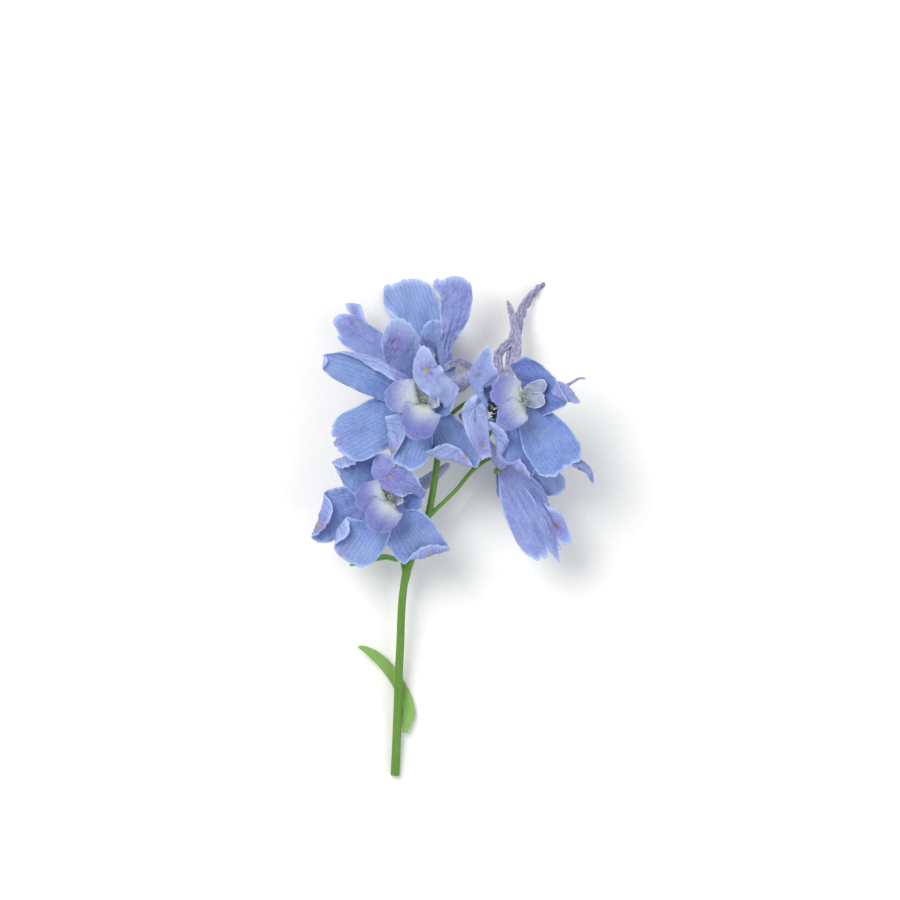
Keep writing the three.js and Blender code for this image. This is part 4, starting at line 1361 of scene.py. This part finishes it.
@dataclass(frozen=True)
class PetalFinish(Finish):
    """The lilac lower petals with their cream mouths, and the whitish upper ones, which have an age of 1."""

    name: str = "limb"
    pair: Pair = ("5F6AB4", "8389CA")
    roughness: float = 0.5
    sheen: float = 0.3
    glow: float = 0.2
    bump: float = 0.45
    bump_height: float = 0.0001
    # The painted shade.
    dark: str = "4450A0"
    cream: str = "BFCAD8"
    mouth: str = "D6DCC2"
    ray: str = "6A6CBC"
    # Painted sheen on the grain, and painted rim light along the margin.
    grain_and_sheen: str = "CDD0EE"
    margin: str = "ABB2EC"
    crest: Pair = ("9DB0D0", "C2CEDB")
    # The upper petals' painted rim light and painted light.
    crest_rim_light: str = "DDE6F0"
    crest_pale: str = "EAF0F5"

    def paint(self, g: Graph, where: Socket, markings: Markings) -> Painted:
        """Paints the lilac, the mouth's cream, rays, upper petals, and painted light, shade, sheen, rim
        light.

        Args:
            g: The material's graph.
            where: Places on the object.
            markings: The shared groups.

        Returns:
            Its colour, its roughness and its height.
        """
        place = g.add("ShaderNodeUVMap", uv_map="blade").outputs[0]
        out = g.split(place)[1]
        look = g.looks()
        rays = markings.veins.place(g, place, Chance=look["chance"], Count=15.0, Wander=0.04)
        patches = markings.mottle.place(g, where, Scale=260.0, Contrast=1.5)
        grain = markings.mottle.place(g, where, Scale=1700.0, Contrast=2.0)
        wobble = g.times(g.math("SUBTRACT", patches, 0.5), 0.22)
        # Painted light lets the cream reach further, and painted shade holds it back.
        reach = g.math("SUBTRACT", g.plus(out, wobble), g.times(look["pale"], 0.4))
        reach = g.plus(reach, g.times(look["dark"], 0.14))
        # The upper petals: painted rim light along the margin, then painted light.
        crest = g.mix(look["margin"], g.mix(patches, *self.crest), self.crest_rim_light)
        crest = g.mix(g.times(look["pale"], 0.8), crest, self.crest_pale)
        colour = g.layered(
            g.mix(patches, *self.pair),
            # Painted shade.
            (g.times(look["dark"], 0.6), self.dark),
            (g.ease(reach, 0.3, 0.95, 1.0, 0.0), self.cream),
            (g.ease(out, 0.1, 0.55, 0.6, 0.0), self.mouth),
            (g.times(rays, g.ease(out, 0.1, 0.6, 0.05, 0.34)), self.ray),
            # Painted sheen on the grain, and painted rim light along the margin.
            (g.times(grain, 0.2), self.grain_and_sheen),
            (g.ease(look["margin"], 0.5, 1.0, 0.0, 0.4), self.margin),
            (look["age"], crest),
        )
        height = g.plus(g.times(rays, -0.5), g.times(grain, 0.5))
        return colour, g.ease(grain, 0.0, 1.0, self.roughness, self.roughness + 0.18), height


@dataclass(frozen=True)
class PaperFinish(Finish):
    """The pale paper under the sprig. It is matt and lets no light through."""

    name: str = "floor"
    pair: Pair = ("E9E8E4", "F3F2EF")
    roughness: float = 0.9
    specular: float = 0.1

    def build(self, markings: Markings) -> bpy.types.Material:
        """Makes the material.

        Args:
            markings: The shared groups.

        Returns:
            The material.
        """
        material, g, where = self.start()
        grain = markings.mottle.place(g, where, Scale=900.0, Contrast=1.0)
        surface = g.add("ShaderNodeBsdfPrincipled", {
            "Base Color": g.mix(grain, *self.pair), "Roughness": self.roughness,
            "Specular IOR Level": self.specular})
        g.add("ShaderNodeOutputMaterial", {"Surface": surface.outputs[0]})
        return material


class Palette:
    """The materials of the sprig and its floor."""

    def __init__(self) -> None:
        """Builds the groups and the materials."""
        markings = Markings()
        self.sepal = SepalFinish().build(markings)
        self.limb = PetalFinish().build(markings)
        self.button = GreenFinish("button", ("6F8F3A", "93A95A"), 0.55).build(markings)
        self.stem = GreenFinish("stem", ("4E7C26", "71993E"), 0.42).build(markings)
        self.leaf = GreenFinish("leaf", ("6F9E45", "94BC66"), 0.45).build(markings)
        self.pod = GreenFinish("pod", ("8E9880", "BCC2B0"), 0.5).build(markings)
        self.anther = Finish("anther", ("141824", "343A4E"), 0.75).build(markings)
        self.filament = Finish("filament", ("B9B49C", "DAD6C8"), 0.6).build(markings)
        self.hair = Finish("hair", ("E3DFC8", "F3F0E2"), 0.7).build(markings)
        self.floor = PaperFinish().build(markings)


# ---------------------------------------------------------------- geometry nodes
class GeometryTree(NamedTree):
    """A geometry node tree with named inputs, and the way to bake what it makes."""

    def __init__(self, name: str, inputs: Inputs) -> None:
        """Makes a tree with a geometry and further inputs, given by socket type and default."""
        inputs = {"Geometry": (GEOMETRY, None), **inputs}
        super().__init__(name, "GeometryNodeTree", inputs, {"Geometry": GEOMETRY})

    def end(self, *parts: tuple[Socket, str]) -> None:
        """Realizes each part, gives it its material input and joins them.

        Args:
            parts: Geometry sockets, each with the name of its material input.
        """
        g = self.graph
        joined = g.add("GeometryNodeJoinGeometry")
        for geometry, material in parts:
            real = g.add("GeometryNodeRealizeInstances", {0: geometry}).outputs[0]
            painted = g.add("GeometryNodeSetMaterial", {"Geometry": real, "Material": self.source[material]})
            self.tree.links.new(painted.outputs[0], joined.inputs[0])
        self.tree.links.new(joined.outputs[0], self.sink[0])

    def tumbled(self, rotation_of: Socket, lean: float) -> Socket:
        """Turns each copy about its direction, and off it by up to `lean` radians, at random.

        Args:
            rotation_of: The rotation of each copy.
            lean: How far a copy may lean.

        Returns:
            The new rotation.
        """
        g = self.graph
        turn = g.add("FunctionNodeRandomValue", {
            "Min": (-lean, -lean, -HALF_TURN), "Max": (lean, lean, HALF_TURN), "Seed": self.source["Seed"],
        }, data_type="FLOAT_VECTOR").outputs[0]
        by = g.add("FunctionNodeEulerToRotation", {0: turn}).outputs[0]
        return g.add("FunctionNodeRotateRotation", {0: rotation_of, 1: by}, rotation_space="LOCAL").outputs[0]

    def bake(self, carrier: bpy.types.Object, values: dict[str, object]) -> bpy.types.Object:
        """Runs the tree on an object and keeps the result as a plain mesh object.

        Args:
            carrier: The object that holds the tree's input. It is removed.
            values: The tree's inputs by name.

        Returns:
            The new object.
        """
        modifier = carrier.modifiers.new("grow", "NODES")
        modifier.node_group = self.tree
        for item in self.tree.interface.items_tree:
            if item.in_out == "INPUT" and item.name in values:
                modifier[item.identifier] = values[item.name]
        evaluated = carrier.evaluated_get(bpy.context.evaluated_depsgraph_get())
        mesh = bpy.data.meshes.new_from_object(evaluated)
        name = carrier.name
        carrier.modifiers.remove(modifier)
        bpy.data.objects.remove(carrier)
        mesh.polygons.foreach_set("use_smooth", np.ones(len(mesh.polygons), bool))
        places = np.empty(3 * len(mesh.vertices))
        mesh.vertices.foreach_get("co", places)
        places[2::3] = np.maximum(places[2::3], 0.0)
        mesh.vertices.foreach_set("co", places)
        return place_object(name, mesh)


def thread_tree() -> GeometryTree:
    """Stamens: a round thread along each curve, and an anther at its end.

    Returns:
        The tree.
    """
    made = GeometryTree("Stamens", {
        "Thread radius": (FLOAT, 0.0001), "Anther": (VECTOR, None), "Seed": (INTEGER, 1),
        "Thread": (MATERIAL, None), "Head": (MATERIAL, None)})
    g, source = made.graph, made.source
    profile = g.add("GeometryNodeCurvePrimitiveCircle", {"Resolution": 6, "Radius": source["Thread radius"]})
    threads = g.add("GeometryNodeCurveToMesh", {
        "Curve": source["Geometry"], "Profile Curve": profile.outputs[0], "Fill Caps": True}).outputs[0]
    is_tip = g.add("GeometryNodeCurveEndpointSelection", {"Start Size": 0, "End Size": 1}).outputs[0]
    kept = g.add("GeometryNodeStoreNamedAttribute", {
        "Geometry": source["Geometry"], "Name": "tip", "Value": is_tip}, data_type="BOOLEAN",
        domain="POINT").outputs[0]
    tips = g.add("GeometryNodeCurveToPoints", {"Curve": kept}, mode="EVALUATED").outputs
    flag = g.add("GeometryNodeInputNamedAttribute", {"Name": "tip"}, data_type="BOOLEAN").outputs[0]
    head = g.add("GeometryNodeMeshIcoSphere", {"Radius": 1.0, "Subdivisions": 2}).outputs[0]
    heads = g.add("GeometryNodeInstanceOnPoints", {
        "Points": tips["Points"], "Selection": flag, "Instance": head,
        "Rotation": made.tumbled(tips["Rotation"], 0.5), "Scale": source["Anther"]}).outputs[0]
    made.end((threads, "Thread"), (heads, "Head"))
    return made


def hair_tree() -> GeometryTree:
    """Fine hairs that stand on the faces of a mesh, where its beard attribute says.

    Returns:
        The tree.
    """
    made = GeometryTree("Hairs", {
        "Density": (FLOAT, 1.0e6), "Length": (FLOAT, 0.0005), "Radius": (FLOAT, 0.00003),
        "Seed": (INTEGER, 3), "Hair": (MATERIAL, None)})
    g, source = made.graph, made.source
    weight = g.add("GeometryNodeInputNamedAttribute", {"Name": "beard"}, data_type="FLOAT").outputs[0]
    spread = g.add("GeometryNodeDistributePointsOnFaces", {
        "Mesh": source["Geometry"], "Density": g.times(weight, source["Density"]),
        "Seed": source["Seed"]}).outputs
    cone = g.add("GeometryNodeMeshCone", {
        "Vertices": 3, "Radius Top": 0.0, "Radius Bottom": source["Radius"],
        "Depth": source["Length"]}, fill_type="NONE").outputs[0]
    sizes = {2: 0.5, 3: 1.2, "Seed": source["Seed"]}
    size = g.add("FunctionNodeRandomValue", sizes, data_type="FLOAT").outputs[1]
    hairs = g.add("GeometryNodeInstanceOnPoints", {
        "Points": spread["Points"], "Instance": cone, "Rotation": made.tumbled(spread["Rotation"], 0.7),
        "Scale": size}).outputs[0]
    made.end((hairs, "Hair"))
    return made


def stem_tree() -> GeometryTree:
    """Stems: a ribbed round section along each curve, as thick as the curve's radius.

    Returns:
        The tree.
    """
    made = GeometryTree("Stems", {
        "Sides": (INTEGER, 24), "Rib depth": (FLOAT, 0.05), "Rib count": (FLOAT, 7.0),
        "Skin": (MATERIAL, None)})
    g, source = made.graph, made.source
    circle = g.add("GeometryNodeCurvePrimitiveCircle", {
        "Resolution": source["Sides"], "Radius": 1.0}).outputs[0]
    place = g.add("GeometryNodeInputPosition").outputs[0]
    split = g.split(place)
    angle = g.math("ARCTAN2", split[1], split[0])
    wave = g.times(g.math("COSINE", g.times(angle, source["Rib count"])), source["Rib depth"])
    scaled = {0: place, "Scale": g.plus(wave, 1.0)}
    ribbed = g.add("ShaderNodeVectorMath", scaled, operation="SCALE").outputs[0]
    profile = g.add("GeometryNodeSetPosition", {"Geometry": circle, "Position": ribbed}).outputs[0]
    radius = g.add("GeometryNodeInputRadius").outputs[0]
    skin = g.add("GeometryNodeCurveToMesh", {
        "Curve": source["Geometry"], "Profile Curve": profile, "Scale": radius, "Fill Caps": True}).outputs[0]
    made.end((skin, "Skin"))
    return made


def curves_object(name: str, routes: list[tuple[np.ndarray, np.ndarray]]) -> bpy.types.Object:
    """A curve object with one open spline for each route.

    Args:
        name: Its name.
        routes: Points in millimetres and radii in metres for each spline.

    Returns:
        The object.
    """
    data = bpy.data.curves.new(name, "CURVE")
    data.dimensions = "3D"
    for points, radii in routes:
        spline = data.splines.new("POLY")
        spline.points.add(len(points) - 1)
        placed = (points - OUTLINE_CENTRE) * MM
        spline.points.foreach_set("co", np.hstack([placed, np.ones((len(placed), 1))]).ravel())
        spline.points.foreach_set("radius", radii)
    return place_object(name, data)


# ---------------------------------------------------------------- pieces of a bloom
@dataclass
class BloomMaker:
    """Makes the pieces of one open bloom. The last fields are the sizes that all blooms share."""

    name: str
    bloom: Bloom
    seed: int
    palette: Palette
    threads: GeometryTree
    hairs: GeometryTree

    sepal_start: float = 1.6
    spur_wrinkle: float = 0.13
    petal_foot: float = 1.65
    petal_ring: tuple[float, float, float] = (1.7, 1.75, 0.38)
    claw: float = 3.9
    claw_step: float = 0.9
    least_turn: float = 8.0
    beard_place: tuple[float, float] = (0.22, 0.14)
    beard_density: float = 9.0e6
    hair_length: float = 0.0007
    hair_radius: float = 0.00003
    stamen_fan: float = 17.0
    stamen_low: float = 2.6
    stamen_points: int = 10
    thread_radius: float = 0.0001
    anther: Vec = (0.00036, 0.0003, 0.00058)
    pod_route: tuple[tuple[float, float], ...] = ((0.2, 3.6), (0.4, 5.1), (0.5, 6.0))
    pod_radii: tuple[float, ...] = (0.38, 0.4, 0.14)
    pod_ring: tuple[float, float, float] = (3.75, 0.62, 0.3)

    def __post_init__(self) -> None:
        """Works out the axes of the bloom's inner pieces."""
        self.heart = np.array(self.bloom.heart, float)
        self.axis = leaning(self.bloom.facing, self.bloom.lean)
        turn_axis = unit(np.cross(UP, self.axis))
        frame_x = rotation(turn_axis, math.radians(self.bloom.lean), np.array([1.0, 0, 0]))
        frame_y = rotation(turn_axis, math.radians(self.bloom.lean), np.array([0, 1.0, 0]))
        angle = math.radians(self.bloom.dorsal - 90)
        self.side = frame_x * math.cos(angle) + frame_y * math.sin(angle)
        self.back = frame_y * math.cos(angle) - frame_x * math.sin(angle)

    def seat(self, points: np.ndarray) -> np.ndarray:
        """Stands inner pieces, made round +Z with the spurred side at +Y, on the heart.

        Args:
            points: The points in the bloom's frame.

        Returns:
            The points in the growth frame.
        """
        size = self.bloom.size
        return (self.heart + self.axis * self.bloom.lift + points[..., :1] * size * self.side
                + points[..., 1:2] * size * self.back + points[..., 2:] * self.axis)

    def _seated(self, patch: Patch) -> Patch:
        """The same patch, standing on the heart."""
        return replace(patch, points=self.seat(patch.points))

    def _ring(self, sizes: tuple[float, float, float]) -> Patch:
        """A small flat ring on the heart, by its level, its radius and its height."""
        level, radius, height = sizes
        return self._seated(ball(UP * level, UP, radius, height))

    def sepals(self) -> bpy.types.Object:
        """The five sepals with the spur and the button.

        Returns:
            The object.
        """
        start = self.sepal_start if self.bloom.lean < TILTED else 0.0
        surface = Surface(f"{self.name}_sepals_fine", [self.palette.sepal, self.palette.button])
        for k, sepal in enumerate(self.bloom.sepals):
            placed = replace(sepal, start=start if sepal.start is None else sepal.start)
            surface.patches.append(BladeMaker(placed, self.seed + 17 * k).patch(self.heart))
        spur = self.bloom.spur
        surface.patches += [tube(spur.route(self.heart), spur.radii, self.seed, spur.age, self.spur_wrinkle),
                            ball(self.heart, self.axis, BUTTON_RADIUS, BUTTON_HEIGHT, 1)]
        return surface.build()

    def _limb(self, k: int) -> Blade:
        """One of the two broad lower petals.

        Args:
            k: 0 or 1.

        Returns:
            The blade, in the bloom's frame.
        """
        b = self.bloom
        side = 2 * k - 1
        claw = self.claw + self.claw_step * k
        length = claw + b.limbs[k]
        turn = max(b.folded - b.claw_lean, self.least_turn)
        # The bloom gives each lower petal its painted light and shade.
        return Blade(
            heading=270 + side * b.spread, rise=88 - b.claw_lean, root=(side * 1.2, -0.1, self.petal_foot),
            length=length, width=b.limbs[k] * b.limb_widths[k], foot=0.2, neck=(claw + 0.3) / length,
            widest=(claw + b.fan * b.limbs[k]) / length, corner=b.limb_corner, ruffle=0.45, waves=4,
            phase=70 * k, lobes=((0.1 - 0.5 * k, -0.06, 0.12), (0.65, -0.04, 0.15)),
            creases=(Crease(claw, 0, -turn, 0.9),), gland=0, claw=claw, crumple=0.22, shade=b.limb_shades[k])

    def _crest(self, k: int) -> Blade:
        """One of the two small upper petals.

        Args:
            k: 0 or 1.

        Returns:
            The blade, in the bloom's frame.
        """
        b = self.bloom
        side = 2 * k - 1
        # The bloom gives the upper petals their painted light and shade.
        return Blade(
            heading=90 + b.crest_turn - side * b.crest_spread, rise=b.crest_rise,
            root=(side * 0.75, 1.0, self.petal_foot), length=b.crest[k], width=b.crest_width, foot=0.5,
            corner=0.5, point=0.7, notch=0.05, ruffle=0.4, waves=4, phase=90 * k, gland=0, age=1.0,
            crumple=0.2, rim=0.4, shade=b.crest_shade)

    def petals(self) -> list[bpy.types.Object]:
        """The four inner petals on their ring, and the beard of the lower two where the bloom is wide open.

        Returns:
            The objects.
        """
        surface = Surface(f"{self.name}_petals_fine", [self.palette.limb])
        for k in range(2):
            limb = BladeMaker(self._limb(k), self.seed + 101 * k, 54, 36)
            crest = BladeMaker(self._crest(k), self.seed + 31 * k, 26, 20)
            surface.patches += [self._seated(maker.patch(np.zeros(3))) for maker in (limb, crest)]
        limbs = surface.patches[::2]
        surface.patches.append(self._ring(self.petal_ring))
        made = [surface.build()]
        if self.bloom.size == 1.0:
            made.append(self._beard(limbs))
        return made

    def _beard(self, limbs: list[Patch]) -> bpy.types.Object:
        """The hairs round the mouth of the lower petals.

        Args:
            limbs: The two petals.

        Returns:
            The object.
        """
        carrier = Surface(f"{self.name}_beard", [self.palette.hair], limbs).build()
        inner = np.vstack([p.looks["tone"] for p in limbs])[:, 0] < 0.5
        weight = inner * bell(np.vstack([p.uv for p in limbs])[:, 1], *self.beard_place)
        beard = carrier.data.attributes.new("beard", "FLOAT", "POINT")
        beard.data.foreach_set("value", weight.astype(np.float32))
        return self.hairs.bake(carrier, {
            "Density": self.beard_density, "Length": self.hair_length, "Radius": self.hair_radius,
            "Seed": self.seed, "Hair": self.palette.hair})

    def stamens(self) -> bpy.types.Object:
        """The stamens, which come out between the claws of the lower petals.

        Returns:
            The object.
        """
        b = self.bloom
        draw = np.random.default_rng(self.seed + 7)
        routes = []
        for _ in range(b.stamens):
            out = compass(270 + b.veer + self.stamen_fan * draw.uniform(-1, 1))
            level = self.stamen_low + min(1.2, 0.2 * b.reach) * draw.uniform(0, 1.1)
            reach = b.reach * draw.uniform(0.6, 1.0)
            path = (out * 0.2 + UP * (self.stamen_low + 0.1), out * reach * 0.5 + UP * (level + 0.1),
                    out * reach + UP * (level + 0.3))
            points = SpaceCurve(np.array(path)).at(np.linspace(0, 1, self.stamen_points))
            routes.append((self.seat(points), np.ones(self.stamen_points)))
        return self.threads.bake(curves_object(f"{self.name}_stamens_fine", routes), {
            "Thread radius": self.thread_radius, "Anther": self.anther, "Seed": self.seed,
            "Thread": self.palette.filament, "Head": self.palette.anther})

    def pods(self) -> bpy.types.Object:
        """The three small pods in the middle.

        Returns:
            The object.
        """
        surface = Surface(f"{self.name}_pods_fine", [self.palette.pod])
        for k in range(3):
            path = tuple(tuple(compass(90 + 120 * k) * r + UP * z) for r, z in self.pod_route)
            pod = tube(path, self.pod_radii, self.seed + k, wrinkle=0.05, sides=14, steps=16)
            surface.patches.append(self._seated(pod))
        surface.patches.append(self._ring(self.pod_ring))
        return surface.build()


# ---------------------------------------------------------------- the sprig
@dataclass
class Sprig:
    """The whole dressed sprig. A swelling is an amount, a place along and a spread."""

    palette: Palette

    stem_steps: int = 90
    stem_swelling: Vec = (0.16, 0.565, 0.012)
    stem_rib: float = 0.045
    stem_ribs: float = 7.0
    stem_sides: int = 24
    stalk_steps: int = 40
    stalk_foot: Vec = (0.35, 0.0, 0.06)
    stalk_flare: float = 0.5
    flare_start: float = 0.86
    faded_button: tuple[float, float] = (1.7, 0.9)
    faded_wrinkle: float = 0.2
    leaf_thickness: float = 0.45
    leaf_channel: float = 0.3

    def __post_init__(self) -> None:
        """Makes the shared trees."""
        self.threads = thread_tree()
        self.hairs = hair_tree()
        self.stems = stem_tree()

    @staticmethod
    def keep(made: bpy.types.Object, node: str, slot: Slot) -> None:
        """Lets a piece stand for a node.

        Args:
            made: The piece.
            node: The node that it replaces.
            slot: The record's material slot. It is not used.
        """
        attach(made, BODY)
        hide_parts(node)
        LOG.info("%s stands for %s", made.name, node)

    def blooms(self) -> None:
        """Makes the open blooms."""
        for k, (name, bloom) in enumerate(BLOOMS.items()):
            maker = BloomMaker(name, bloom, 100 + 37 * k, self.palette, self.threads, self.hairs)
            self.keep(maker.sepals(), f"{name}_sepals", Slot.SEPALS)
            for piece in maker.petals():
                self.keep(piece, f"{name}_petals", Slot.PETALS)
            self.keep(maker.stamens(), f"{name}_stamens", Slot.STAMENS)
            self.keep(maker.pods(), f"{name}_pods", Slot.PODS)

    def faded(self) -> None:
        """Makes the spent bloom."""
        heart = np.array(FADED.heart, float)
        surface = Surface("bloom_faded_fine", [self.palette.sepal, self.palette.button])
        surface.patches = [ribbon(strap, 11 + k, heart) for k, strap in enumerate(FADED.straps)]
        surface.patches += [
            tube(FADED.spur.route(heart), FADED.spur.radii, 5, FADED.spur.age, self.faded_wrinkle),
            ball(heart, leaning(FADED.facing, FADED.lean), *self.faded_button, 1)]
        self.keep(surface.build(), "bloom_faded", Slot.FADED)

    @staticmethod
    def _stalk_end(bloom: Bloom | FadedBloom, run: float) -> list[np.ndarray]:
        """Where the last stretch of a flower stalk starts and ends, just short of the button.

        Args:
            bloom: The bloom.
            run: The length of the stretch.

        Returns:
            Two points.
        """
        axis = leaning(bloom.facing, bloom.lean)
        seat = BUTTON_HEIGHT + 0.05
        return [np.array(bloom.heart) - axis * (seat + back) for back in (run + SEAT_GAP, 0.0)]

    def stem(self) -> None:
        """Makes the stem with its branches and flower stalks."""
        left, top, right, lower, hanging = BLOOMS.values()
        paths = [
            [(-3.1, 0, 12), *self._stalk_end(left, 4)],
            [(-2.8, 3, 11.8), (-3.4, 10, 10.8), *self._stalk_end(top, 2)],
            [(-11.1, -31.75, 7.4), (-12.2, -26, 7.8), (-13.6, -18, 8.6), *self._stalk_end(lower, 2.5)],
            [(-4.9, -16, 10.7), (1.25, -10.15, 10.5), FORK, *self._stalk_end(hanging, 2)],
            [FORK, (8, 1, 10), *self._stalk_end(right, 5)],
            [(-2.7, 4, 11.6), (1, 9.5, 9), (8, 13.5, 7.2), *self._stalk_end(FADED, 2)],
        ]
        t = np.linspace(0, 1, self.stem_steps)
        amount, *where = self.stem_swelling
        routes = [(SpaceCurve(STEM_MAIN).at(t), spaced(t, STEM_RADII) * (1 + amount * bell(t, *where)) * MM)]
        s = np.linspace(0, 1, self.stalk_steps)
        amount, *where = self.stalk_foot
        flare = self.stalk_flare * smooth(self.flare_start, 1.0, s)
        radii = STALK_RADIUS * (1 + amount * bell(s, *where) + flare) * MM
        routes += [(SpaceCurve(np.array(path, float)).at(s), radii) for path in paths]
        made = self.stems.bake(curves_object("stem_fine", routes), {
            "Sides": self.stem_sides, "Rib depth": self.stem_rib, "Rib count": self.stem_ribs,
            "Skin": self.palette.stem})
        self.keep(made, "stem", Slot.STEM)

    def leaves(self) -> None:
        """Makes the leaf and the bract."""
        for name, strap, seed in (("leaf_lower", LEAF, 21), ("bract", BRACT, 23)):
            blade = ribbon(strap, seed, np.zeros(3), self.leaf_thickness, 0.0, self.leaf_channel, columns=16)
            self.keep(Surface(f"{name}_fine", [self.palette.leaf], [blade]).build(), name, Slot.LEAF)


# ---------------------------------------------------------------- the studio
@dataclass(frozen=True)
class Lamp:
    """A square lamp that looks at the middle of the sprig, measured in metres and watts."""

    name: str
    place: Vec
    side: float
    power: float
    tint: Vec

    def hang(self) -> None:
        """Hangs the lamp."""
        data = bpy.data.lights.new(self.name, "AREA")
        data.size = self.side
        data.energy = self.power
        data.color = self.tint
        lamp = place_object(self.name, data)
        lamp.location = self.place
        x, y, z = -unit(np.array(self.place))
        lamp.rotation_euler = (math.atan2(math.hypot(x, y), -z), 0.0, math.atan2(y, x) - math.pi / 2)


@dataclass(frozen=True)
class Studio:
    """The floor, the lights and the camera, in metres. The lens and the sensor are in millimetres."""

    floor_half: float = 1.5
    sky: tuple[float, float, float, float] = (0.93, 0.96, 1.0, 1.0)
    sky_strength: float = 0.7
    lamps: tuple[Lamp, ...] = (
        Lamp("key", (-0.55, 0.5, 0.95), 0.7, 10.5, (1.0, 0.98, 0.95)),
        Lamp("fill", (0.8, -0.4, 0.8), 0.9, 4.0, (0.95, 0.97, 1.0)),
    )
    lens: float = 192.0
    sensor: float = 36.0
    camera_height: float = 1.2

    def lay_floor(self, material: bpy.types.Material) -> None:
        """Lays the floor.

        Args:
            material: Its material.
        """
        half = self.floor_half
        mesh = bpy.data.meshes.new("floor")
        corners = [(-half, -half, 0), (half, -half, 0), (half, half, 0), (-half, half, 0)]
        mesh.from_pydata(corners, [], [(0, 1, 2, 3)])
        mesh.materials.append(material)
        floor = place_object("floor", mesh)

    def light(self) -> None:
        """Sets the sky and the lamps."""
        world = bpy.data.worlds.new("studio")
        world.use_nodes = True
        background = world.node_tree.nodes["Background"].inputs
        background["Color"].default_value = self.sky
        background["Strength"].default_value = self.sky_strength
        bpy.context.scene.world = world
        for lamp in self.lamps:
            lamp.hang()

    def set_camera(self) -> None:
        """Hangs the camera straight over the sprig."""
        data = bpy.data.cameras.new("camera")
        data.lens = self.lens
        data.sensor_width = self.sensor
        camera = place_object("camera", data)
        camera.location = tuple(UP * self.camera_height - OUTLINE_CENTRE * MM)
        bpy.context.scene.camera = camera
        bpy.context.scene.view_settings.view_transform = "Standard"


def main() -> None:
    """Builds the looks."""
    logging.basicConfig(level=logging.INFO)
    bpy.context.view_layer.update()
    palette = Palette()
    sprig = Sprig(palette)
    sprig.blooms()
    sprig.faded()
    sprig.stem()
    sprig.leaves()
    studio = Studio()
    studio.lay_floor(palette.floor)
    studio.light()
    studio.set_camera()


if __name__ == "__main__":
    main()
